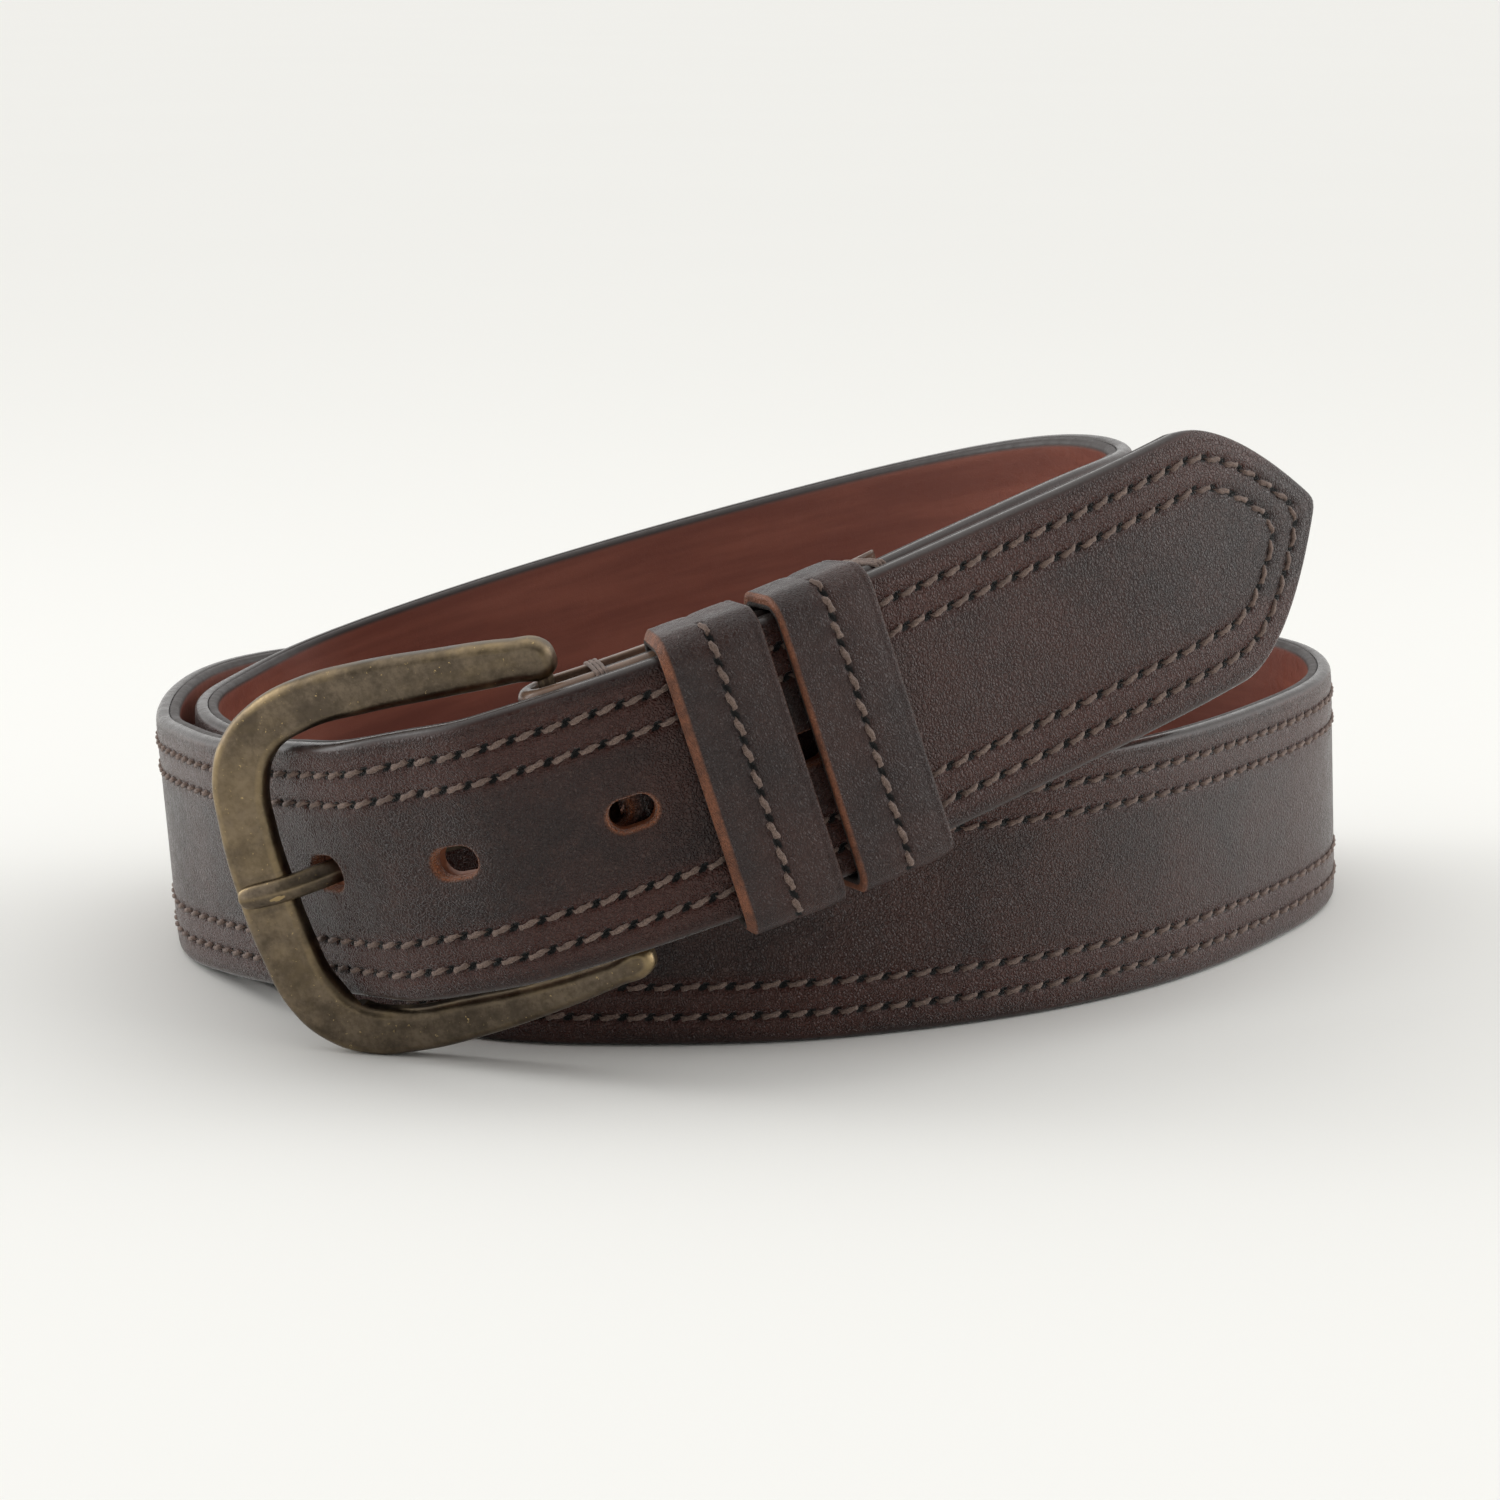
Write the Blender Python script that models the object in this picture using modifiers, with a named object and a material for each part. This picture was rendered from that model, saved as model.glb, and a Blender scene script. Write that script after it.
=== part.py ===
"""A men's dress belt, coiled and buckled.

The strap is one long piece of leather, folded round the buckle's heel bar at one end and
cut to a point at the other, with a lining behind it and two rows of stitching along each
edge. It makes almost two turns: an upper ring, which slopes up to the right and holds the
buckle, the two keepers and the pointed end, and a lower ring, which stands on the table.

Units are millimetres until an object is made. +Z is up and the buckle faces -Y.
"""

import math

import bmesh
import bpy
import numpy as np
from mathutils import Matrix, Vector

MM = 0.001
BELT = "leather_belt"

# The strap's own section.
STRAP_WIDTH = 38.0
HALF = STRAP_WIDTH / 2
OUTER_THICK = 2.2
LINING_THICK = 1.4
PLY_GAP = 0.2
BEVEL = 1.0
LINING_INSET = 0.4
LINING_OFFSET = -(OUTER_THICK / 2 + PLY_GAP + LINING_THICK / 2)

# The pointed end and its holes, measured along the strap.
POINT_LENGTH = 25.0
POINT_POWER = 1.7
POINT_NOSE = 0.5
HOLE_PITCH = 25.4
FIRST_HOLE = -44.9
HOLE_COUNT = 4
HOLE_LONG = 6.0
HOLE_WIDE = 4.8
PRONG_HOLE_LONG = 8.0
PRONG_HOLE_WIDE = 5.2

# The stitching: rows along the edges, and the two seams that hold the fold.
THREAD_WIDE = 1.1
THREAD_THICK = 0.5
THREAD_GAP = 0.2
OUTER_ROW_INSET = 4.25
INNER_ROW_INSET = 8.65
SEAM_HALF = 13.0
SEAM_WIDE = 0.6
SEAM_HOLE = 1.3
NEAR_SEAM_AT = 9.0
FAR_SEAM_AT = 49.5
ROWS_START_AT = 53.0

# The upper ring's plane, and the round stretch that the keepers slide along.
RING_SLOPE = math.radians(17.6)
RING_PITCH = math.radians(2.9)
RING_CENTRE = Vector((-26.4, 74.8, 40.6))
BAR_TURN = math.radians(2.08)
BAR_RING_RADIUS = 90.8
POINT_ARC = (math.radians(-5.0), math.radians(29.0))

# Distances outwards from the heel bar's axis: the fold's middle, and the pointed end's.
FOLD_RADIUS = 3.4
POINT_OFFSET = 8.1
FLAP_LENGTH = 53.0
FLAP_SKIVE = 9.0
FLAP_TIP_THICK = 0.8
LINING_START_AT = 6.5

# The buckle. Its frame lies along the direction that leaves the bar at this turn.
FRAME_TURN = math.radians(14.5)
FRAME_THICK = 4.0
FRAME_ROUND = 1.1
FRAME_SHIFT = 0.26
BAR_RADIUS = 2.0
BAR_HALF = 18.2
PIVOT_RADIUS = 1.2
PIVOT_HALF = 23.0
PIVOT_HOLE = 1.5
PRONG_WIDE = 3.6
PRONG_THICK = 2.2
KNUCKLE_RADIUS = 3.2
KNUCKLE_THICK = 1.8
SEAT_WIDE = 5.0
SEAT_DEEP = 1.1
FRAME_CLEARANCE = 0.4

# The keepers: where each one starts along the ring, and its section.
KEEPER_STARTS = (14.4, 29.6)
KEEPER_WIDE = 12.5
KEEPER_THICK = 2.2
KEEPER_FRONT = 10.2
KEEPER_BACK = 0.35
KEEPER_HALF = 19.5
KEEPER_ROUND = 1.6
KEEPER_SEAM_HALF = 18.6

# The strap's free route: x, y and height of its middle, and the lean of its upper edge
# towards -X in degrees. Each point is on the middle of the outer leather.
FROM_FOLD_TO_UPPER_BACK = (
    (38.6, 7.2, 57.3, 17.6),
    (52.5, 23.2, 61.0, 17.6),
    (61.4, 45.8, 62.0, 17.6),
    (55.4, 65.7, 61.3, 17.6),
    (44.0, 79.4, 58.4, 17.6),
    (7.0, 98.3, 47.2, 17.6),
    (-30.3, 105.3, 35.6, 17.0),
    (-57.0, 107.0, 26.5, 13.0),
    (-72.0, 101.5, 21.6, 8.0),
)
LOWER_RING = (
    (-81.6, 87.0, 19.2, 4.0),
    (-84.4, 68.0, 19.1, 3.5),
    (-81.4, 51.0, 19.1, 3.5),
    (-74.0, 36.6, 19.1, 3.0),
    (-63.6, 23.6, 19.0, 1.5),
    (-49.0, 10.4, 19.0, 0.5),
    (-34.8, 2.2, 19.0, 0.0),
    (-21.3, 0.0, 19.0, 0.0),
    (-7.0, 0.2, 19.0, 0.0),
    (7.0, 2.2, 19.0, 0.0),
    (21.1, 7.1, 19.0, 0.0),
    (35.7, 14.3, 19.0, 0.0),
    (51.0, 25.2, 19.0, 1.0),
    (66.6, 41.5, 19.0, 2.0),
    (81.4, 63.9, 19.0, 2.5),
    (92.6, 88.0, 19.0, 2.5),
    (95.0, 106.0, 19.0, 2.0),
    (91.0, 123.0, 19.0, 1.0),
    (78.0, 135.0, 19.0, 0.0),
    (50.0, 139.5, 19.0, 0.0),
    (15.0, 137.0, 19.0, 0.0),
    (-25.0, 131.0, 19.0, 0.0),
    (-58.0, 123.0, 19.0, 0.0),
    (-76.5, 114.0, 19.0, 1.0),
    (-85.6, 101.5, 19.0, 2.5),
    (-89.8, 84.0, 19.0, 3.0),
    (-90.0, 66.0, 19.1, 3.5),
    (-87.4, 50.0, 19.2, 5.5),
)
UP_TO_THE_BUCKLE = (
    (-82.8, 38.0, 20.2, 8.5),
    (-76.6, 24.8, 21.6, 13.0),
    (-70.0, 13.0, 23.2, 16.5),
    (-63.0, 2.0, 25.2, 17.6),
    (-56.6, -7.2, 26.8, 17.6),
    (-52.4, -12.7, 27.8, 17.6),
    (-48.6, -16.2, 28.9, 17.6),
    (-43.0, -19.3, 30.5, 17.6),
)
# The pointed end past the keepers, in the ring's plane, from the ring's centre.
TO_THE_POINT = (
    (67.0, -75.4),
    (88.0, -61.9),
    (114.2, -38.2),
)

# Layout coordinates of the point that becomes the part's origin.
LAYOUT_ORIGIN = Vector((2.2, 57.04, -0.03))

# Sampling along the strap: how far a chord may lie from its curve, and its length limits.
CHORD_SAG = 0.06
CHORD_MIN = 0.9
CHORD_MAX = 6.5

RING_X = Vector((math.cos(RING_SLOPE), 0.0, math.sin(RING_SLOPE)))
RING_Y = Vector(
    (
        -math.sin(RING_SLOPE) * math.sin(RING_PITCH),
        math.cos(RING_PITCH),
        math.cos(RING_SLOPE) * math.sin(RING_PITCH),
    )
)
RING_Z = RING_X.cross(RING_Y)


def ring_point(a, b, height=0.0):
    """A point in the ring's plane: a along its X and b along its Y, from its centre."""
    return RING_CENTRE + a * RING_X + b * RING_Y + height * RING_Z


def arc_point(offset, turn, height=0.0):
    """A point at an offset outwards from the heel bar's circle, at a turn round the ring."""
    radius = BAR_RING_RADIUS + offset
    return ring_point(radius * math.sin(turn), -radius * math.cos(turn), height)


def turn_at(length):
    """The turn round the ring of a place this far along it from the heel bar."""
    return BAR_TURN + length / BAR_RING_RADIUS


BAR_CENTRE = arc_point(0.0, BAR_TURN)
FRAME_ALONG = -math.cos(FRAME_TURN) * RING_X + math.sin(FRAME_TURN) * RING_Y
FRAME_OUT = -math.sin(FRAME_TURN) * RING_X - math.cos(FRAME_TURN) * RING_Y


def lean_up(lean):
    """The direction from the strap's lower edge to its upper edge."""
    return Vector((-math.sin(math.radians(lean)), 0.0, math.cos(math.radians(lean))))


def route_points():
    """(position, up) pairs along the middle of the outer leather, from flap to point."""
    points = []
    for length in np.linspace(FLAP_LENGTH, 4.0, 12).tolist():
        points.append((arc_point(-FOLD_RADIUS, turn_at(length)), RING_Z))
    for angle in np.linspace(-90.0, 90.0, 9).tolist():
        turn = math.radians(angle)
        side = arc_point(FOLD_RADIUS * math.sin(turn), BAR_TURN)
        left = -FOLD_RADIUS * math.cos(turn) * arc_direction(BAR_TURN)
        points.append((side + left, RING_Z))
    for length in np.linspace(4.0, 52.0, 12).tolist():
        points.append((arc_point(FOLD_RADIUS, turn_at(length)), RING_Z))
    for x, y, z, lean in FROM_FOLD_TO_UPPER_BACK:
        points.append((Vector((x, y, z)), lean_up(lean)))
    for x, y, z, lean in LOWER_RING + UP_TO_THE_BUCKLE:
        points.append((Vector((x, y, z)), lean_up(lean)))
    for turn in np.linspace(POINT_ARC[0], POINT_ARC[1], 13).tolist():
        points.append((arc_point(POINT_OFFSET, turn), RING_Z))
    for a, b in TO_THE_POINT:
        points.append((ring_point(a, b), RING_Z))
    return points


def arc_direction(turn):
    """The direction of travel along the ring, towards the pointed end."""
    return math.cos(turn) * RING_X + math.sin(turn) * RING_Y


class Route:
    """A smooth curve through the route's points: a natural cubic spline on chord length."""

    def __init__(self, points):
        self.values = np.array([[*place, *up] for place, up in points])
        steps = np.linalg.norm(np.diff(self.values[:, :3], axis=0), axis=1)
        self.knots = np.concatenate([[0.0], np.cumsum(steps)])
        count = len(points)
        matrix = np.eye(count)
        right = np.zeros((count, 6))
        slopes = np.diff(self.values, axis=0) / steps[:, None]
        for i in range(1, count - 1):
            matrix[i, i - 1] = steps[i - 1]
            matrix[i, i] = 2 * (steps[i - 1] + steps[i])
            matrix[i, i + 1] = steps[i]
            right[i] = 6 * (slopes[i] - slopes[i - 1])
        self.bends = np.linalg.solve(matrix, right)
        self.steps = steps
        self.length = float(self.knots[-1])

    def at(self, place):
        """(position, tangent, up, curvature) at a place along the curve."""
        i = int(np.clip(np.searchsorted(self.knots, place) - 1, 0, len(self.steps) - 1))
        step = self.steps[i]
        after = (place - self.knots[i]) / step
        before = 1 - after
        bend_a, bend_b = self.bends[i], self.bends[i + 1]
        start, end = self.values[i], self.values[i + 1]
        value = before * start + after * end
        value = value + ((before**3 - before) * bend_a + (after**3 - after) * bend_b) * step**2 / 6
        slope = (end - start) / step
        slope = slope + ((1 - 3 * before**2) * bend_a + (3 * after**2 - 1) * bend_b) * step / 6
        bend = before * bend_a + after * bend_b
        tangent = Vector(slope[:3])
        speed = tangent.length
        curvature = tangent.cross(Vector(bend[:3])).length / speed**3
        tangent.normalize()
        up = Vector(value[3:])
        up = (up - up.dot(tangent) * tangent).normalized()
        return Vector(value[:3]), tangent, up, curvature

    def nearest(self, target, start, end):
        """The place between start and end whose point is nearest to the target."""
        places = np.linspace(start, end, 2001).tolist()
        return min(places, key=lambda place: (self.at(place)[0] - target).length)

    def places(self, start, end, longest=CHORD_MAX):
        """Places from start to end, close together where the curve is tight."""
        found = [start]
        while found[-1] < end:
            bend = max(self.at(found[-1])[3], self.at(min(found[-1] + CHORD_MIN, end))[3], 1e-4)
            step = math.sqrt(8 * CHORD_SAG / bend)
            found.append(found[-1] + min(max(step, CHORD_MIN), longest))
        if end - found[-2] < CHORD_MIN / 2:
            found.pop()
        found[-1] = end
        return found


ROUTE = Route(route_points())
FOLD_END = ROUTE.nearest(arc_point(FOLD_RADIUS, BAR_TURN), FLAP_LENGTH, FLAP_LENGTH + 25)
BAR_ON_POINT = ROUTE.nearest(
    arc_point(POINT_OFFSET, BAR_TURN), ROUTE.length - 170, ROUTE.length - 60
)
POINT_START = ROUTE.length - POINT_LENGTH


def half_width(place, inset=0.0):
    """Half the strap's width at a place, less an inset from its edge, with the point's taper."""
    reach = ROUTE.length - inset * 1.25
    if place <= POINT_START:
        return HALF - inset
    share = min((place - POINT_START) / (reach - POINT_START), 1.0)
    return (HALF - inset) * (1 - share**POINT_POWER)


def strap_places():
    """Every station of the strap, shared by all that follows it."""
    body = ROUTE.places(0.0, POINT_START)
    point = np.linspace(POINT_START, ROUTE.length - POINT_NOSE, 11).tolist()[1:]
    return body + point


PLACES = strap_places()


def between(start, end):
    """The strap's stations from start to end, with both ends added."""
    inner = [place for place in PLACES if start + 0.3 < place < end - 0.3]
    return [start, *inner, end]


def on_strap(place, across, out):
    """A point across the strap and outwards from the middle of the outer leather."""
    middle, tangent, up, _ = ROUTE.at(place)
    return middle + across * up + out * tangent.cross(up)


def into_frame(point):
    """A layout point in the part's own frame, in metres."""
    return (point - LAYOUT_ORIGIN) * MM


def place_at(obj, origin):
    """Moves the object's origin to a layout point and leaves its shape where it is."""
    offset = into_frame(origin)
    obj.data.transform(Matrix.Translation(-offset))
    obj.location = offset
    return obj


def material(name, colour, roughness, metallic):
    made = bpy.data.materials.new(name)
    made.use_nodes = True
    shader = made.node_tree.nodes["Principled BSDF"]
    shader.inputs["Base Color"].default_value = (*colour, 1.0)
    shader.inputs["Roughness"].default_value = roughness
    shader.inputs["Metallic"].default_value = metallic
    return made


def clear_scene():
    for obj in list(bpy.data.objects):
        bpy.data.objects.remove(obj, do_unlink=True)


def collection(name, hidden=False):
    made = bpy.data.collections.new(name)
    made.hide_render = hidden
    bpy.context.scene.collection.children.link(made)
    return made


def make_object(name, bm, group, look=None):
    """An object from a bmesh whose points are in the part's frame."""
    bmesh.ops.recalc_face_normals(bm, faces=bm.faces)
    if bm.calc_volume(signed=True) < 0:
        bmesh.ops.reverse_faces(bm, faces=bm.faces)
    mesh = bpy.data.meshes.new(name)
    bm.to_mesh(mesh)
    bm.free()
    obj = bpy.data.objects.new(name, mesh)
    group.objects.link(obj)
    if look:
        mesh.materials.append(look)
        mesh.shade_smooth()
        mesh.set_sharp_from_angle(angle=math.radians(35))
    return obj


def loft(name, rings, group, look=None, closed=False):
    """A solid through rings of points: capped at both ends, or closed on itself.

    Each side is split on the diagonal that rises along the loft, so that neighbouring
    plies of a twisting strap keep their gap.
    """
    bm = bmesh.new()
    loops = []
    for ring in rings:
        loops.append([bm.verts.new(into_frame(point)) for point in ring])
    if closed:
        loops.append(loops[0])
    for first, second in zip(loops, loops[1:]):
        for i in range(len(first)):
            j = (i + 1) % len(first)
            if first[j].co.z > first[i].co.z:
                bm.faces.new((first[i], first[j], second[j]))
                bm.faces.new((first[i], second[j], second[i]))
            else:
                bm.faces.new((first[i], first[j], second[i]))
                bm.faces.new((first[j], second[j], second[i]))
    if not closed:
        bm.faces.new(loops[0])
        bm.faces.new(reversed(loops[-1]))
    return make_object(name, bm, group, look)


def rounded_box(name, centre, axes, halves, group):
    """A box cutter centred on a layout point, along three directions."""
    bm = bmesh.new()
    bmesh.ops.create_cube(bm, size=2.0)
    for vert in bm.verts:
        offset = sum((vert.co[i] * halves[i] * axes[i] for i in range(3)), Vector())
        vert.co = into_frame(centre + offset)
    return make_object(name, bm, group)


def round_cutter(name, centre, axes, radii, half, group):
    """An oval cylinder cutter: axes are its long, its short and its own direction."""
    bm = bmesh.new()
    bmesh.ops.create_cone(bm, cap_ends=True, segments=20, radius1=1.0, radius2=1.0, depth=2.0)
    for vert in bm.verts:
        offset = vert.co.x * radii[0] * axes[0] + vert.co.y * radii[1] * axes[1]
        vert.co = into_frame(centre + offset + vert.co.z * half * axes[2])
    return make_object(name, bm, group)


def cut(obj, cutters):
    """Subtracts each cutter from the object."""
    for cutter in cutters:
        cutter.hide_render = True
        cutter.display_type = "WIRE"
        boolean = obj.modifiers.new(cutter.name, "BOOLEAN")
        boolean.operation = "DIFFERENCE"
        boolean.object = cutter
    return obj


def strap_ring(place, half, thick, out, bevel):
    """One section of a ply: its outer face bevelled at both edges."""
    back, front = out - thick / 2, out + thick / 2
    outline = [(-half, back), (half, back), (half, front - bevel)]
    if bevel > 0:
        outline += [(half - bevel, front), (bevel - half, front)]
    outline.append((-half, front - bevel))
    return [on_strap(place, across, level) for across, level in outline]


def outer_ply(group, look):
    """The one-piece outer leather, from the folded flap's skived end to the point."""
    rings = []
    for place in PLACES:
        share = min(place / FLAP_SKIVE, 1.0)
        thick = FLAP_TIP_THICK + (OUTER_THICK - FLAP_TIP_THICK) * share
        out = (thick - OUTER_THICK) / 2
        half = max(half_width(place), POINT_NOSE)
        bevel = min(BEVEL, 0.45 * thick, 0.45 * half)
        rings.append(strap_ring(place, half, thick, -out, bevel))
    return loft("strap_outer", rings, group, look)


def lining_ply(group, look):
    """The lining, from just past the heel bar to the point."""
    start = FOLD_END + LINING_START_AT
    end = ROUTE.length - POINT_NOSE - LINING_INSET
    rings = []
    for place in between(start, end):
        half = max(half_width(place) - LINING_INSET, 0.4 * POINT_NOSE)
        rings.append(strap_ring(place, half, LINING_THICK, LINING_OFFSET, 0.0))
    return loft("strap_lining", rings, group, look)


def hole_places():
    """Each hole's place along the strap, its length and its width: the prong is in the first."""
    for number in range(HOLE_COUNT):
        size = (PRONG_HOLE_LONG, PRONG_HOLE_WIDE) if number == 0 else (HOLE_LONG, HOLE_WIDE)
        yield BAR_ON_POINT + FIRST_HOLE + number * HOLE_PITCH, *size


def hole_cutters(group):
    cutters = []
    for number, (place, long, wide) in enumerate(hole_places()):
        middle, tangent, up, _ = ROUTE.at(place)
        out = tangent.cross(up)
        centre = middle - LINING_THICK / 2 * out
        name = f"hole_cutter_{number + 1}"
        radii = (long / 2, wide / 2)
        cutters.append(round_cutter(name, centre, (tangent, up, out), radii, 2.4, group))
    return cutters


def slot_cutter(group):
    """The slot in the fold that lets the prong's knuckle reach the heel bar."""
    along = arc_direction(BAR_TURN)
    out = along.cross(RING_Z)
    half = PRONG_WIDE / 2 + 0.5
    return rounded_box(
        "slot_cutter", BAR_CENTRE - 0.8 * out, (along, RING_Z, out), (5.6, half, 5.6), group
    )


def seam_cutters(group):
    """The four holes that the two seams of the fold pass through."""
    cutters = []
    for label, length in (("near", NEAR_SEAM_AT), ("far", FAR_SEAM_AT)):
        turn = turn_at(length)
        along = arc_direction(turn)
        out = along.cross(RING_Z)
        for side in (-1, 1):
            centre = arc_point(-0.2, turn, side * SEAM_HALF)
            halves = (SEAM_HOLE / 2, SEAM_HOLE / 2, 5.0)
            name = f"{label}_seam_cutter_{'low' if side < 0 else 'high'}"
            cutters.append(rounded_box(name, centre, (along, RING_Z, out), halves, group))
    return cutters


def row_path(inset):
    """(place, across) along one row: up the top edge, round the point and back."""
    start = FOLD_END + ROWS_START_AT
    end = ROUTE.length - inset * 1.25
    upper = [(place, half_width(place, inset)) for place in between(start, end - 0.6)]
    lower = [(place, -across) for place, across in reversed(upper)]
    return [*upper, (end, 0.0), *lower]


def stitch_row(name, inset, group, look):
    """One row of thread: a flat ribbon that lies on the outer leather."""
    path = row_path(inset)
    level = OUTER_THICK / 2 + THREAD_GAP + THREAD_THICK / 2
    rings = []
    for i, (place, across) in enumerate(path):
        before, after = path[max(i - 1, 0)], path[min(i + 1, len(path) - 1)]
        step = Vector((after[0] - before[0], after[1] - before[1])).normalized()
        ring = []
        for side, rise in ((-1, -1), (1, -1), (1, 1), (-1, 1)):
            shift = side * THREAD_WIDE / 2
            out = level + rise * THREAD_THICK / 2
            ring.append(on_strap(place - shift * step.y, across + shift * step.x, out))
        rings.append(ring)
    return loft(name, rings, group, look)


def fold_seam(name, length, group, look):
    """One seam of the fold: a loop of thread through both thicknesses of the strap."""
    turn = turn_at(length)
    along = arc_direction(turn)
    reach = FOLD_RADIUS + OUTER_THICK / 2 + THREAD_GAP + THREAD_THICK / 2
    corners = ((-SEAM_HALF, -reach), (SEAM_HALF, -reach), (SEAM_HALF, reach), (-SEAM_HALF, reach))
    half_wide, half_thick = SEAM_WIDE / 2, THREAD_THICK / 2
    rings = []
    for height, out in corners:
        up_sign, out_sign = math.copysign(1, height), math.copysign(1, out)
        ring = []
        for side, grow in ((-1, -1), (1, -1), (1, 1), (-1, 1)):
            place = arc_point(
                out + grow * half_thick * out_sign, turn, height + grow * half_thick * up_sign
            )
            ring.append(place + side * half_wide * along)
        rings.append(ring)
    return loft(name, rings, group, look, closed=True)


def frame_at(along, out, height):
    """A layout point from the heel bar: along the frame, out of its face, and up the bar."""
    return BAR_CENTRE + along * FRAME_ALONG + out * FRAME_OUT + height * RING_Z


FRAME_AXES = Matrix((FRAME_ALONG, RING_Z, FRAME_ALONG.cross(RING_Z))).transposed()


def frame_outline():
    """The frame's outline from the heel bar's upper end round to its lower end, and back."""
    upper_outer = ((-2.3, 22.4), (-1.2, 24.6), (3.7, 25.8), (14.0, 27.0), (26.0, 28.0))
    upper_outer += ((35.0, 27.9), (42.0, 26.3), (47.5, 23.0), (50.9, 18.3), (52.8, 10.0))
    lower_outer = ((53.4, -9.0), (51.8, -17.8), (48.3, -23.2), (42.6, -26.7), (35.0, -28.0))
    lower_outer += ((24.0, -27.9), (13.0, -26.8), (3.5, -25.3), (-1.3, -24.3), (-2.3, -22.6))
    lower_inner = ((-1.4, -20.6), (4.0, -21.3), (14.0, -22.1), (26.0, -22.0), (35.0, -21.5))
    lower_inner += ((41.2, -19.2), (44.2, -14.8), (45.2, -8.0))
    upper_inner = ((45.1, 8.0), (43.9, 14.4), (41.0, 18.6), (35.0, 20.7), (26.0, 20.9))
    upper_inner += ((14.0, 20.3), (4.0, 19.8), (-1.4, 19.8))
    far_outer, far_inner = (53.6, 0.5), (45.4, 0.0)
    return [*upper_outer, far_outer, *lower_outer, *lower_inner, far_inner, *upper_inner]


def strap_path_cutter(group):
    """The room that the strap's edges need where it passes behind the frame's far end."""
    rings = []
    front = OUTER_THICK / 2 + THREAD_GAP + THREAD_THICK + FRAME_CLEARANCE
    half = HALF + FRAME_CLEARANCE
    back = LINING_OFFSET - LINING_THICK
    outline = ((-half, back), (half, back), (half, front), (-half, front))
    start = BAR_ON_POINT + FIRST_HOLE - 16.0
    for place in between(start, start + 28.0):
        rings.append([on_strap(place, across, out) for across, out in outline])
    return loft("strap_path_cutter", rings, group)


def buckle_frame(parts, cutters, look):
    """The cast frame: a flat rounded outline, open where the heel bar closes it."""
    data = bpy.data.curves.new("frame_outline", "CURVE")
    data.dimensions = "2D"
    data.fill_mode = "BOTH"
    data.extrude = (FRAME_THICK / 2 - FRAME_ROUND) * MM
    data.bevel_depth = FRAME_ROUND * MM
    data.bevel_resolution = 1
    data.offset = -FRAME_ROUND * MM
    data.resolution_u = 3
    points = frame_outline()
    spline = data.splines.new("BEZIER")
    spline.bezier_points.add(len(points) - 1)
    for knot, (along, height) in zip(spline.bezier_points, points):
        knot.co = (along * MM, height * MM, 0.0)
        knot.handle_left_type = "AUTO"
        knot.handle_right_type = "AUTO"
    spline.use_cyclic_u = True
    guide = bpy.data.objects.new("frame_outline", data)
    cutters.objects.link(guide)
    guide.matrix_world = (
        Matrix.Translation(into_frame(frame_at(0.0, 0.0, FRAME_SHIFT))) @ FRAME_AXES.to_4x4()
    )
    bpy.context.view_layer.update()
    graph = bpy.context.evaluated_depsgraph_get()
    mesh = bpy.data.meshes.new_from_object(guide.evaluated_get(graph))
    mesh.transform(guide.matrix_world)
    bm = bmesh.new()
    bm.from_mesh(mesh)
    bmesh.ops.remove_doubles(bm, verts=bm.verts, dist=1e-6)
    bpy.data.objects.remove(guide)
    frame = make_object("buckle_frame", bm, parts, look)
    axes = (FRAME_ALONG, FRAME_OUT, RING_Z)
    pivot = round_cutter(
        "pivot_cutter", BAR_CENTRE, axes, (PIVOT_HOLE, PIVOT_HOLE), PIVOT_HALF + 0.3, cutters
    )
    seat_centre = frame_at(49.5, FRAME_THICK / 2 + 2.0 - SEAT_DEEP, 0.0)
    seat = rounded_box("seat_cutter", seat_centre, axes, (6.0, 2.0, SEAT_WIDE / 2), cutters)
    cut(frame, (pivot, seat, strap_path_cutter(cutters)))
    return place_at(frame, BAR_CENTRE)


def heel_bar(group, look):
    """The heel bar: a turned pin with a thinner pivot at each end."""
    profile = (
        (0.0, PIVOT_HALF),
        (PIVOT_RADIUS, PIVOT_HALF),
        (PIVOT_RADIUS, BAR_HALF),
        (BAR_RADIUS, BAR_HALF),
        (BAR_RADIUS, -BAR_HALF),
        (PIVOT_RADIUS, -BAR_HALF),
        (PIVOT_RADIUS, -PIVOT_HALF),
        (0.0, -PIVOT_HALF),
    )
    bm = bmesh.new()
    verts = [bm.verts.new((radius * MM, 0.0, height * MM)) for radius, height in profile]
    for first, second in zip(verts, verts[1:]):
        bm.edges.new((first, second))
    mesh = bpy.data.meshes.new("heel_bar")
    bm.to_mesh(mesh)
    bm.free()
    mesh.materials.append(look)
    bar = bpy.data.objects.new("heel_bar", mesh)
    group.objects.link(bar)
    turned = bar.modifiers.new("turned", "SCREW")
    turned.steps = 24
    turned.render_steps = 24
    turned.use_merge_vertices = True
    turned.merge_threshold = 0.00001
    bar.location = into_frame(BAR_CENTRE)
    bar.rotation_mode = "QUATERNION"
    bar.rotation_quaternion = RING_Z.to_track_quat("Z", "X")
    return bar


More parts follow.
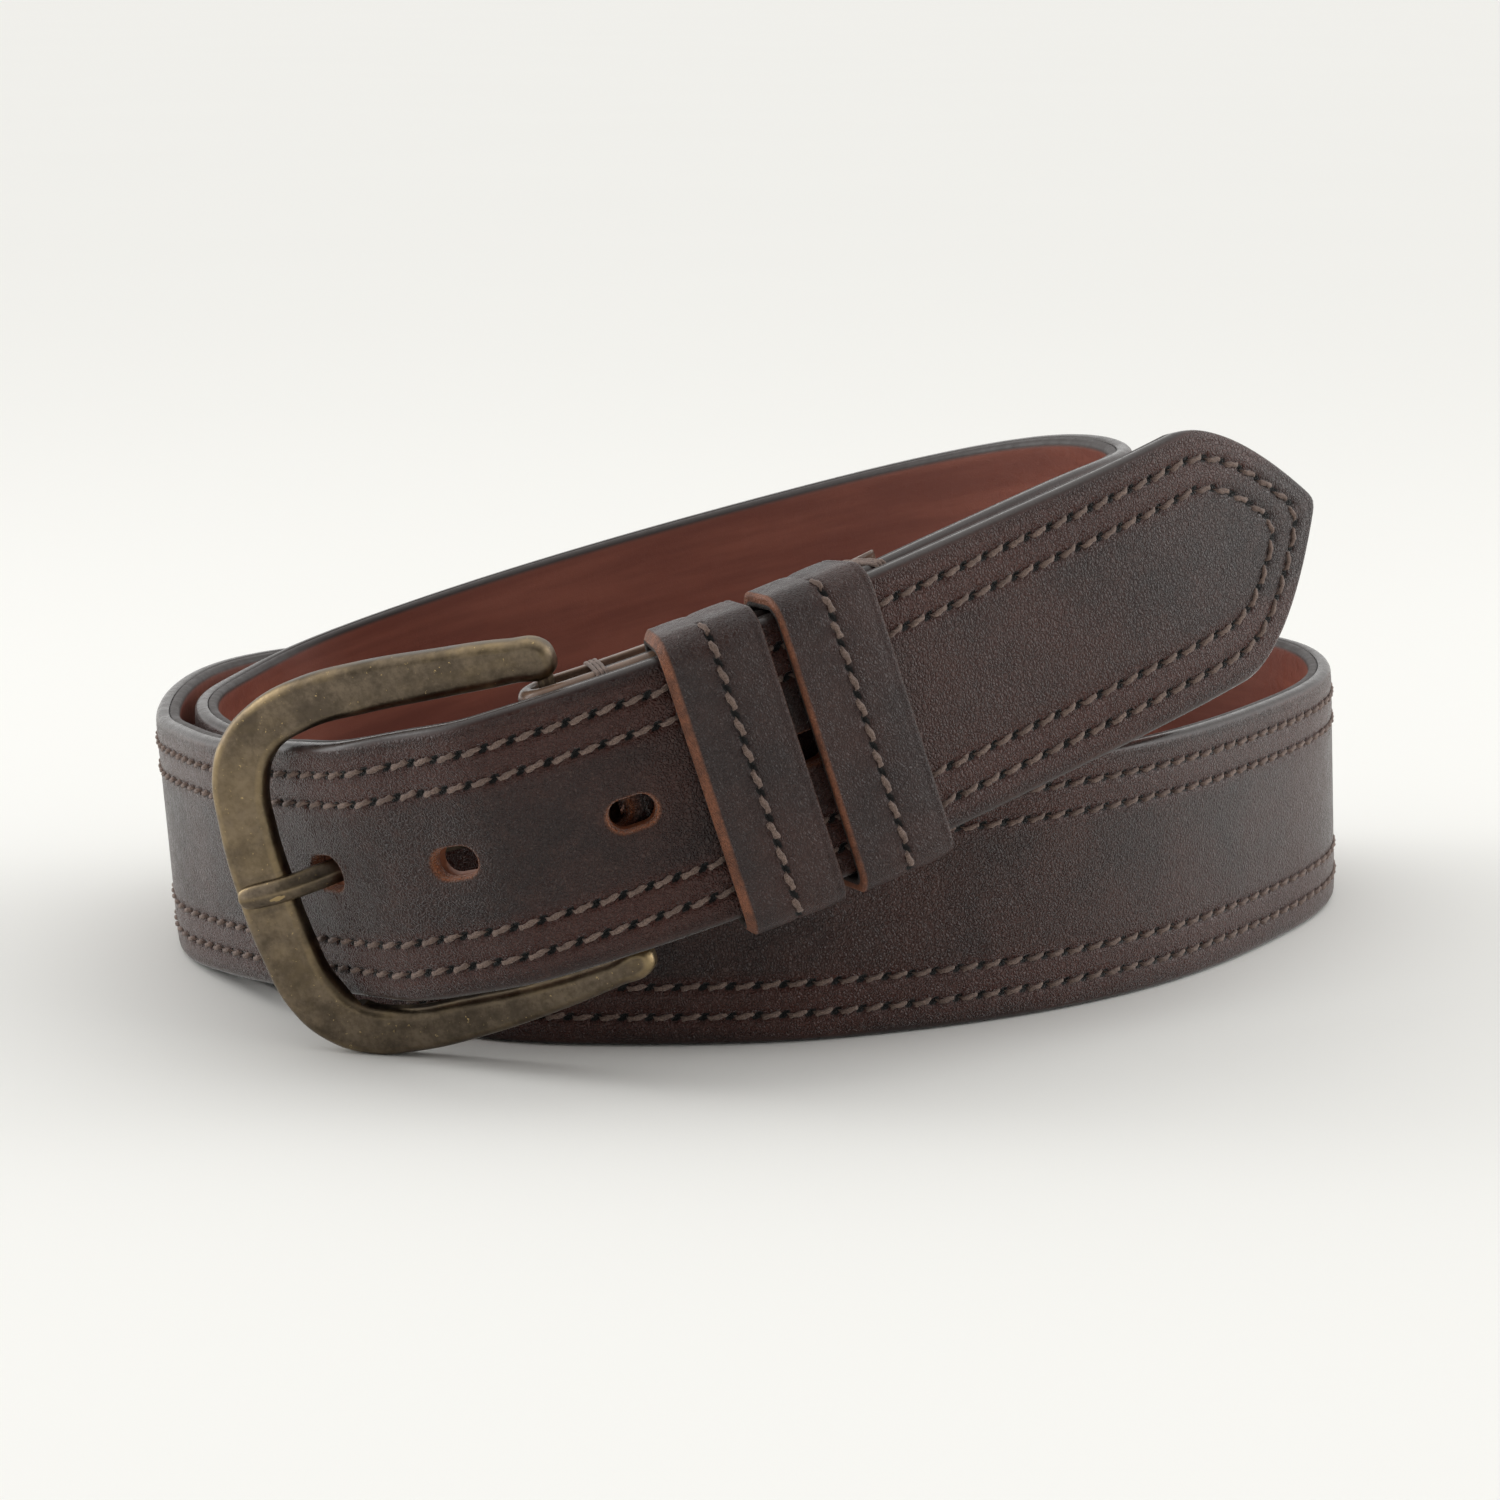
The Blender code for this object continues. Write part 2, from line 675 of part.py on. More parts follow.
def prong_path():
    """(along, out, thickness) from the knuckle's free end to the prong's tip."""
    path = []
    for angle in np.linspace(70.0, 270.0, 13).tolist():
        turn = math.radians(angle)
        path.append(
            (KNUCKLE_RADIUS * math.cos(turn), KNUCKLE_RADIUS * math.sin(turn), KNUCKLE_THICK)
        )
    path += [
        (6.0, -3.1, 2.0),
        (18.0, -3.4, PRONG_THICK),
        (28.0, -3.5, PRONG_THICK),
        (33.5, -3.4, PRONG_THICK),
        (36.5, -2.7, PRONG_THICK),
        (38.7, -1.6, PRONG_THICK),
        (41.0, -0.1, PRONG_THICK),
        (43.4, 1.3, PRONG_THICK),
        (45.4, 2.2, PRONG_THICK),
        (47.4, 2.5, PRONG_THICK),
        (50.6, 2.5, PRONG_THICK - 0.1),
        (52.2, 2.45, PRONG_THICK - 0.5),
        (53.0, 2.35, PRONG_THICK - 1.3),
    ]
    return path


def prong(group, look):
    """The prong: a flat bar curled round the heel bar, its front face ridged."""
    path = prong_path()
    rings = []
    for i, (along, out, thick) in enumerate(path):
        before, after = path[max(i - 1, 0)], path[min(i + 1, len(path) - 1)]
        step = Vector((after[0] - before[0], after[1] - before[1])).normalized()
        half = PRONG_WIDE / 2
        if along > 51.0:
            half *= 0.86 if along < 52.8 else 0.5
        flat = thick / 2 - 0.6
        profile = ((-half, -thick / 2), (half, -thick / 2), (half, flat))
        profile += ((0.25 * half, thick / 2), (-0.25 * half, thick / 2), (-half, flat))
        rings.append(
            [frame_at(along - rise * step.y, out + rise * step.x, side) for side, rise in profile]
        )
    return place_at(loft("prong", rings, group, look), BAR_CENTRE)


def rounded_rectangle(half, back, front, radius):
    """(height, out) points round a rectangle with rounded corners, three to a corner."""
    points = []
    for up, face, start in ((1, front, 0), (-1, front, 90), (-1, back, 180), (1, back, 270)):
        centre_up = up * (half - radius)
        centre_out = face - radius if face == front else face + radius
        for angle in (start, start + 45, start + 90):
            turn = math.radians(angle)
            points.append(
                (centre_up + radius * math.cos(turn), centre_out + radius * math.sin(turn))
            )
    return points


def keeper(number, start, group, look):
    """One keeper: a closed loop of leather round both thicknesses of the strap."""
    back, front = KEEPER_BACK, KEEPER_FRONT
    inner = rounded_rectangle(KEEPER_HALF, back, front, KEEPER_ROUND)
    outer = rounded_rectangle(
        KEEPER_HALF + KEEPER_THICK,
        back - KEEPER_THICK,
        front + KEEPER_THICK,
        KEEPER_ROUND + KEEPER_THICK,
    )
    turns = [turn_at(start + share * KEEPER_WIDE) for share in (0.0, 1 / 3, 2 / 3, 1.0)]
    bm = bmesh.new()
    inner_loops, outer_loops = [], []
    for turn in turns:
        inner_loops.append([bm.verts.new(into_frame(arc_point(o, turn, h))) for h, o in inner])
        outer_loops.append([bm.verts.new(into_frame(arc_point(o, turn, h))) for h, o in outer])
    count = len(inner)
    for loops in (inner_loops, outer_loops):
        for first, second in zip(loops, loops[1:]):
            for i in range(count):
                j = (i + 1) % count
                bm.faces.new((first[i], first[j], second[j], second[i]))
    for inside, outside in ((inner_loops[0], outer_loops[0]), (inner_loops[-1], outer_loops[-1])):
        for i in range(count):
            j = (i + 1) % count
            bm.faces.new((inside[i], inside[j], outside[j], outside[i]))
    made = make_object(f"keeper_{number}", bm, group, look)
    return place_at(made, RING_CENTRE)


def keeper_seam(number, start, group, look):
    """The one row of thread up the middle of a keeper's front."""
    middle = start + 0.5 * KEEPER_WIDE
    level = KEEPER_FRONT + KEEPER_THICK + THREAD_GAP + THREAD_THICK / 2
    rings = []
    for height in (-KEEPER_SEAM_HALF, KEEPER_SEAM_HALF):
        ring = []
        for side, rise in ((-1, -1), (1, -1), (1, 1), (-1, 1)):
            turn = turn_at(middle + side * THREAD_WIDE / 2)
            ring.append(arc_point(level + rise * THREAD_THICK / 2, turn, height))
        rings.append(ring)
    made = loft(f"keeper_{number}_stitching", rings, group, look)
    return place_at(made, RING_CENTRE)


def main():
    clear_scene()
    parts = collection(BELT)
    cutters = collection(f"{BELT}_cutters", hidden=True)
    leather = material("dark_brown_leather", (0.055, 0.030, 0.024), 0.5, 0.0)
    lining = material("red_brown_lining", (0.130, 0.040, 0.026), 0.65, 0.0)
    thread = material("brown_thread", (0.130, 0.085, 0.065), 0.75, 0.0)
    brass = material("antique_brass", (0.170, 0.140, 0.085), 0.4, 1.0)

    holes = hole_cutters(cutters)
    slot = slot_cutter(cutters)
    seams = seam_cutters(cutters)
    cut(outer_ply(parts, leather), [*holes, slot, *seams])
    cut(lining_ply(parts, lining), [*holes, *seams])
    stitch_row("stitching_outer_row", OUTER_ROW_INSET, parts, thread)
    stitch_row("stitching_inner_row", INNER_ROW_INSET, parts, thread)
    fold_seam("fold_stitch_near", NEAR_SEAM_AT, parts, thread)
    fold_seam("fold_stitch_far", FAR_SEAM_AT, parts, thread)
    buckle_frame(parts, cutters, brass)
    heel_bar(parts, brass)
    prong(parts, brass)
    for number, start in enumerate(KEEPER_STARTS, 1):
        keeper(number, start, parts, leather)
        keeper_seam(number, start, parts, thread)


main()
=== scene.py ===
"""The looks of a coiled, buckled dress belt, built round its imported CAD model.

The strap's route, the keepers and the buckle repeat part.py's numbers, in its layout
millimetres. into_frame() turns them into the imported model's metres. +Z is up and the
buckle faces -Y.
"""

import math

import bmesh
import bpy
import numpy as np
from mathutils import Matrix, Vector


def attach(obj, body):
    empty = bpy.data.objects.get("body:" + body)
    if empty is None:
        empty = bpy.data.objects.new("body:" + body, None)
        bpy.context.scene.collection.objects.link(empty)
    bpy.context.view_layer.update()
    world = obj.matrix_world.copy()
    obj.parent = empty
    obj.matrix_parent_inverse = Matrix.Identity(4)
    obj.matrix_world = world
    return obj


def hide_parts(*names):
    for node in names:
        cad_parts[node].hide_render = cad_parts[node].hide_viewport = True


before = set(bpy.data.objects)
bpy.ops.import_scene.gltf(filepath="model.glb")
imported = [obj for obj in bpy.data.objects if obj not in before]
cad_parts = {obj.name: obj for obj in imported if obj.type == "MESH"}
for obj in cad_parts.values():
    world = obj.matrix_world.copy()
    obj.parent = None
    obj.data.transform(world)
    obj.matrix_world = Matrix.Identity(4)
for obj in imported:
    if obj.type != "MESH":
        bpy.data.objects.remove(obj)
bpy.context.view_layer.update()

MM = 0.001
TAU = 2 * math.pi

# The strap's section and its pointed end.
HALF = 19.0
OUTER_THICK = 2.2
POINT_LENGTH = 25.0
POINT_POWER = 1.7
# An inner line's end per mm of its inset, and how its outline is sampled and smoothed.
TIP_SHRINK = 1.25
TIP_SAMPLES = 400
TIP_CROWDING = 1.6
TIP_SMOOTHINGS = 90
# The face's middle point, ahead of the last station.
MIDDLE_AHEAD = 1.25
FLAP_SKIVE = 9.0
FLAP_TIP_THICK = 0.8
LINING_START_AT = 6.5

# Holes along the strap, from the heel bar.
FIRST_HOLE = -44.9
HOLE_PITCH = 25.4
HOLE_COUNT = 4
SLOT_HALF_WIDE = 2.3
SLOT_STRAIGHT = 5.6
# Half length and half width of the hole that the prong is in, and of the others.
PRONG_HOLE = (4.0, 2.6)
OTHER_HOLE = (3.5, 2.3)

# Stitching.
PITCH = 3.8
PER_PITCH = 4
STEP = PITCH / PER_PITCH
OUTER_ROW = 4.25
INNER_ROW = 8.65
ROWS_START_AT = 53.0
PIT_DEPTH = 0.95
SEAM_HALF = 13.0
NEAR_SEAM_AT = 9.0
FAR_SEAM_AT = 49.5

# The upper ring's plane, and the round stretch that the keepers slide along.
RING_SLOPE = math.radians(17.6)
RING_PITCH = math.radians(2.9)
RING_CENTRE = np.array((-26.4, 74.8, 40.6))
BAR_TURN = math.radians(2.08)
BAR_RING_RADIUS = 90.8
POINT_ARC = (math.radians(-5.0), math.radians(29.0))
FOLD_RADIUS = 3.4
POINT_OFFSET = 8.1
FLAP_LENGTH = 53.0

# The keepers.
KEEPER_STARTS = (14.2, 29.4)
KEEPER_WIDE = 12.9
KEEPER_THICK = 2.2
KEEPER_FRONT = 10.2
KEEPER_BACK = 0.35
KEEPER_HALF = 19.5
KEEPER_ROUND = 1.6
KEEPER_CHAMFERS = (0.95, 0.35)
KEEPER_PIT_DEPTH = 0.8
KEEPER_THREAD_SINK = 0.12
# The keeper's stitches run where its face is out past these, above and below its middle.
KEEPER_ROW_TOP = KEEPER_FRONT - 2.5
KEEPER_ROW_BOTTOM = KEEPER_FRONT + 0.6

# The buckle.
FRAME_TURN = math.radians(14.5)
FRAME_THICK = 4.0
FRAME_ROUND = 1.45
FRAME_SHIFT = 0.26
FRAME_SHARP = math.radians(32)
PRONG_WIDE = 3.6
PRONG_THICK = 2.2
KNUCKLE_RADIUS = 3.2
KNUCKLE_THICK = 1.8
SEAT_AT = 49.5
SEAT_HALVES = (6.0, 2.0, 2.5)
SEAT_DEEP = 1.1
SEAT_ROUND = 0.7

# The room for the strap's edges behind the buckle's far end: the levels of its front and
# back, the gap at the edges, where it starts before the prong's hole, and its length.
RELIEF_FRONT = 2.2
RELIEF_BACK = -3.4
RELIEF_GAP = 0.4
RELIEF_BEFORE = 16.0
RELIEF_LENGTH = 28.0

# The strap's free route: x, y and height of its middle, and the lean of its upper edge
# towards -X in degrees.
FROM_FOLD_TO_UPPER_BACK = (
    (38.6, 7.2, 57.3, 17.6),
    (52.5, 23.2, 61.0, 17.6),
    (61.4, 45.8, 62.0, 17.6),
    (55.4, 65.7, 61.3, 17.6),
    (44.0, 79.4, 58.4, 17.6),
    (7.0, 98.3, 47.2, 17.6),
    (-30.3, 105.3, 35.6, 17.0),
    (-57.0, 107.0, 26.5, 13.0),
    (-72.0, 101.5, 21.6, 8.0),
)
LOWER_RING = (
    (-81.6, 87.0, 19.2, 4.0),
    (-84.4, 68.0, 19.1, 3.5),
    (-81.4, 51.0, 19.1, 3.5),
    (-74.0, 36.6, 19.1, 3.0),
    (-63.6, 23.6, 19.0, 1.5),
    (-49.0, 10.4, 19.0, 0.5),
    (-34.8, 2.2, 19.0, 0.0),
    (-21.3, 0.0, 19.0, 0.0),
    (-7.0, 0.2, 19.0, 0.0),
    (7.0, 2.2, 19.0, 0.0),
    (21.1, 7.1, 19.0, 0.0),
    (35.7, 14.3, 19.0, 0.0),
    (51.0, 25.2, 19.0, 1.0),
    (66.6, 41.5, 19.0, 2.0),
    (81.4, 63.9, 19.0, 2.5),
    (92.6, 88.0, 19.0, 2.5),
    (95.0, 106.0, 19.0, 2.0),
    (91.0, 123.0, 19.0, 1.0),
    (78.0, 135.0, 19.0, 0.0),
    (50.0, 139.5, 19.0, 0.0),
    (15.0, 137.0, 19.0, 0.0),
    (-25.0, 131.0, 19.0, 0.0),
    (-58.0, 123.0, 19.0, 0.0),
    (-76.5, 114.0, 19.0, 1.0),
    (-85.6, 101.5, 19.0, 2.5),
    (-89.8, 84.0, 19.0, 3.0),
    (-90.0, 66.0, 19.1, 3.5),
    (-87.4, 50.0, 19.2, 5.5),
)
UP_TO_THE_BUCKLE = (
    (-82.8, 38.0, 20.2, 8.5),
    (-76.6, 24.8, 21.6, 13.0),
    (-70.0, 13.0, 23.2, 16.5),
    (-63.0, 2.0, 25.2, 17.6),
    (-56.6, -7.2, 26.8, 17.6),
    (-52.4, -12.7, 27.8, 17.6),
    (-48.6, -16.2, 28.9, 17.6),
    (-43.0, -19.3, 30.5, 17.6),
)
TO_THE_POINT = (
    (67.0, -75.4),
    (88.0, -61.9),
    (114.2, -38.2),
)
LAYOUT_ORIGIN = np.array((2.2, 57.04, -0.03))

RING_X = np.array((math.cos(RING_SLOPE), 0.0, math.sin(RING_SLOPE)))
RING_Y = np.array(
    (
        -math.sin(RING_SLOPE) * math.sin(RING_PITCH),
        math.cos(RING_PITCH),
        math.cos(RING_SLOPE) * math.sin(RING_PITCH),
    )
)
RING_Z = np.cross(RING_X, RING_Y)
RNG = np.random.default_rng(7)


# ---- the strap's route


def ring_point(a, b, height=0.0):
    """A point in the ring's plane: a along its X and b along its Y, from its centre."""
    return RING_CENTRE + a * RING_X + b * RING_Y + height * RING_Z


def arc_point(offset, turn, height=0.0):
    """A point at an offset outwards from the heel bar's circle, at a turn round the ring."""
    radius = BAR_RING_RADIUS + offset
    return ring_point(radius * math.sin(turn), -radius * math.cos(turn), height)


def arc_direction(turn):
    return math.cos(turn) * RING_X + math.sin(turn) * RING_Y


def turn_at(length):
    return BAR_TURN + length / BAR_RING_RADIUS


def lean_up(lean):
    return (-math.sin(math.radians(lean)), 0.0, math.cos(math.radians(lean)))


def route_points():
    """(position, up) pairs along the middle of the outer leather, from flap to point."""
    points = []
    for length in np.linspace(FLAP_LENGTH, 4.0, 12).tolist():
        points.append((arc_point(-FOLD_RADIUS, turn_at(length)), RING_Z))
    for angle in np.linspace(-90.0, 90.0, 9).tolist():
        turn = math.radians(angle)
        side = arc_point(FOLD_RADIUS * math.sin(turn), BAR_TURN)
        left = -FOLD_RADIUS * math.cos(turn) * arc_direction(BAR_TURN)
        points.append((side + left, RING_Z))
    for length in np.linspace(4.0, 52.0, 12).tolist():
        points.append((arc_point(FOLD_RADIUS, turn_at(length)), RING_Z))
    for x, y, z, lean in FROM_FOLD_TO_UPPER_BACK + LOWER_RING + UP_TO_THE_BUCKLE:
        points.append(((x, y, z), lean_up(lean)))
    for turn in np.linspace(POINT_ARC[0], POINT_ARC[1], 13).tolist():
        points.append((arc_point(POINT_OFFSET, turn), RING_Z))
    for a, b in TO_THE_POINT:
        points.append((ring_point(a, b), RING_Z))
    return points


def unit(vectors):
    return vectors / np.linalg.norm(vectors, axis=-1, keepdims=True)


class Route:
    """A smooth curve through the route's points: a natural cubic spline on chord length."""

    def __init__(self, points):
        self.values = np.array([[*place, *up] for place, up in points])
        steps = np.linalg.norm(np.diff(self.values[:, :3], axis=0), axis=1)
        self.knots = np.concatenate([[0.0], np.cumsum(steps)])
        count = len(points)
        matrix = np.eye(count)
        right = np.zeros((count, 6))
        slopes = np.diff(self.values, axis=0) / steps[:, None]
        for i in range(1, count - 1):
            matrix[i, i - 1] = steps[i - 1]
            matrix[i, i] = 2 * (steps[i - 1] + steps[i])
            matrix[i, i + 1] = steps[i]
            right[i] = 6 * (slopes[i] - slopes[i - 1])
        self.bends = np.linalg.solve(matrix, right)
        self.steps = steps
        self.length = float(self.knots[-1])

    def at(self, places):
        """Middle, outward and up vectors at an array of places along the curve."""
        places = np.asarray(places, float)
        i = np.clip(np.searchsorted(self.knots, places) - 1, 0, len(self.steps) - 1)
        step = self.steps[i][..., None]
        after = (places - self.knots[i])[..., None] / step
        before = 1 - after
        bend_a, bend_b = self.bends[i], self.bends[i + 1]
        start, end = self.values[i], self.values[i + 1]
        value = before * start + after * end
        value = value + ((before**3 - before) * bend_a + (after**3 - after) * bend_b) * step**2 / 6
        slope = (end - start) / step
        slope = slope + ((1 - 3 * before**2) * bend_a + (3 * after**2 - 1) * bend_b) * step / 6
        tangent = unit(slope[..., :3])
        up = value[..., 3:]
        up = unit(up - (up * tangent).sum(-1, keepdims=True) * tangent)
        return value[..., :3], np.cross(tangent, up), up

    def nearest(self, target, start, end):
        places = np.linspace(start, end, 2001)
        gaps = np.linalg.norm(self.at(places)[0] - target, axis=1)
        return float(places[int(np.argmin(gaps))])


ROUTE = Route(route_points())
FOLD_END = ROUTE.nearest(arc_point(FOLD_RADIUS, BAR_TURN), FLAP_LENGTH, FLAP_LENGTH + 25)
BAR_ON_POINT = ROUTE.nearest(
    arc_point(POINT_OFFSET, BAR_TURN), ROUTE.length - 170, ROUTE.length - 60
)
POINT_START = ROUTE.length - POINT_LENGTH


def on_strap(place, across, out):
    """Layout points across the strap and outwards from the middle of the outer leather."""
    middle, outward, up = ROUTE.at(place)
    return middle + np.asarray(across)[..., None] * up + np.asarray(out)[..., None] * outward


def into_frame(points):
    """Layout points in the part's own frame, in metres."""
    return (np.asarray(points) - LAYOUT_ORIGIN) * MM


# ---- mesh helpers


def finish_mesh(name, points, faces, look=None, at=None, cut_and_pit_shade=None):
    """An object from layout points and faces, with the attributes that its material reads."""
    mesh = bpy.data.meshes.new(name)
    mesh.from_pydata(into_frame(points).tolist(), [], faces)
    if at is not None:
        values = mesh.attributes.new("at", "FLOAT_VECTOR", "POINT")
        values.data.foreach_set("vector", (np.asarray(at, float) * MM).ravel().astype(np.float32))
    # The second attribute holds the bare cut share and the stitch-pit mask; the materials paint
    # the pits near black as shade.
    if cut_and_pit_shade is not None:
        values = mesh.attributes.new("cut_and_pit_shade", "FLOAT_VECTOR", "POINT")
        values.data.foreach_set("vector", np.asarray(cut_and_pit_shade, float).ravel().astype(np.float32))
    bm = bmesh.new()
    bm.from_mesh(mesh)
    bmesh.ops.recalc_face_normals(bm, faces=bm.faces)
    bm.to_mesh(mesh)
    bm.free()
    mesh.shade_smooth()
    if look:
        mesh.materials.append(look)
    made = bpy.data.objects.new(name, mesh)
    bpy.context.scene.collection.objects.link(made)
    return made


def run_lengths(path):
    """The distance along a path to each of its points."""
    steps = np.linalg.norm(np.diff(path, axis=0), axis=1)
    return np.concatenate([[0.0], np.cumsum(steps)])


def resampled(path, runs, places):
    """A path's values at distances along it."""
    return np.stack([np.interp(places, runs, column) for column in path.T], axis=1)


def ring_quads(near, far):
    """Quads between rows of vertices, each row going round to its own start."""
    quads = np.stack([near, np.roll(near, -1, -1), np.roll(far, -1, -1), far], axis=-1)
    return quads.reshape(-1, 4).tolist()


def zipped(first, second):
    """Faces that join two rows of vertices, which may differ in number."""
    faces = []
    i = j = 0
    a, b = len(first) - 1, len(second) - 1
    while i < a or j < b:
        next_i = (i + 1) / a if i < a else 9.0
        next_j = (j + 1) / b if j < b else 9.0
        if abs(next_i - next_j) < 1e-6:
            faces.append((first[i], first[i + 1], second[j + 1], second[j]))
            i, j = i + 1, j + 1
        elif next_i < next_j:
            faces.append((first[i], first[i + 1], second[j]))
            i += 1
        else:
            faces.append((first[i], second[j + 1], second[j]))
            j += 1
    return faces


def tip_outline(inset, per_pitch):
    """(place, across) round the point at an inset from its edge, evenly spaced. Its steps
    number a multiple of per_pitch, and its corners are rounded by smoothing."""
    reach = ROUTE.length - inset * TIP_SHRINK
    share = 1 - np.linspace(1.0, 0.0, TIP_SAMPLES // 2) ** TIP_CROWDING
    half = (HALF - inset) * (1 - share**POINT_POWER)
    places = POINT_START + (reach - POINT_START) * share
    path = np.array([*zip(places, half), *zip(places[-2::-1], -half[-2::-1])])
    runs = run_lengths(path)
    path = resampled(path, runs, np.linspace(0, runs[-1], TIP_SAMPLES + 1))
    for _ in range(TIP_SMOOTHINGS):
        path[1:-1] += 0.25 * (path[2:] + path[:-2] - 2 * path[1:-1])
    runs = run_lengths(path)
    count = max(2, round(runs[-1] / STEP / per_pitch) * per_pitch)
    return resampled(path, runs, np.linspace(0, runs[-1], count + 1))


# ---- the strap's plies

# Each line of a ply: its inset from the strap's edge, and its level outwards. They run
# from the middle of the face, over the edge, to the middle of the back.
MIDDLE_INSETS = (19.0, 18.0, 17.0, 16.0, 15.0, 14.0, 13.0)
FACE_LINES = (
    (11.4, 1.1), (10.0, 1.09), (9.35, 1.02), (INNER_ROW, 0.9), (7.95, 1.02), (7.3, 1.1),
    (6.4, 1.13), (5.6, 1.1), (4.95, 1.02), (OUTER_ROW, 0.9), (3.55, 1.02), (2.9, 1.09),
    (2.1, 1.08), (1.7, 0.98), (1.3, 1.03), (0.85, 0.95), (0.45, 0.72), (0.15, 0.38),
    (0.02, 0.0), (0.02, -0.5), (0.05, -0.9), (0.16, -1.06), (0.5, -1.1), (6.0, -1.1),
    (10.0, -1.1),
)
OUTER_LINES = (
    *((inset, 1.1) for inset in MIDDLE_INSETS),
    *FACE_LINES,
    *((inset, -1.1) for inset in reversed(MIDDLE_INSETS)),
)
LINING_LINES = (
    *((inset, -1.14) for inset in MIDDLE_INSETS),
    (7.0, -1.14), (1.0, -1.14), (0.35, -1.15), (0.2, -1.22), (0.12, -1.6), (0.16, -2.05),
    (0.36, -2.42), (0.8, -2.64), (1.4, -2.69), (2.4, -2.7), (6.0, -2.7), (10.0, -2.7),
    *((inset, -2.7) for inset in reversed(MIDDLE_INSETS)),
)
HOLE_REACH = 6.0
HOLE_MARGIN = 2.4
# The rings between a hole's rectangle on the face and the one on the back: the growth of
# the oval, its share against the rectangle, how deep in the leather, and how bare the cut.
HOLE_RINGS = (
    (1.5, 0.5, 0.0, 0.0),
    (1.16, 1.0, 0.0, 0.02),
    (1.07, 1.0, 0.03, 0.35),
    (1.01, 1.0, 0.16, 1.0),
    (0.97, 1.0, 0.45, 1.0),
    (0.93, 1.0, 0.72, 1.0),
    (0.99, 1.0, 0.94, 1.0),
    (1.1, 1.0, 1.0, 0.6),
)


def slot_outline(offsets, reach, long, wide):
    """A point of a slot with round ends for each point of the rectangle round it."""
    found = []
    for along, across in offsets:
        if abs(along) >= reach - 1e-6:
            turn = math.pi / 2 * across / HOLE_REACH
            end = long - wide + wide * math.cos(turn)
            found.append((math.copysign(end, along), wide * math.sin(turn)))
        else:
            found.append((along / reach * (long - wide), math.copysign(wide, across)))
    return np.array(found)


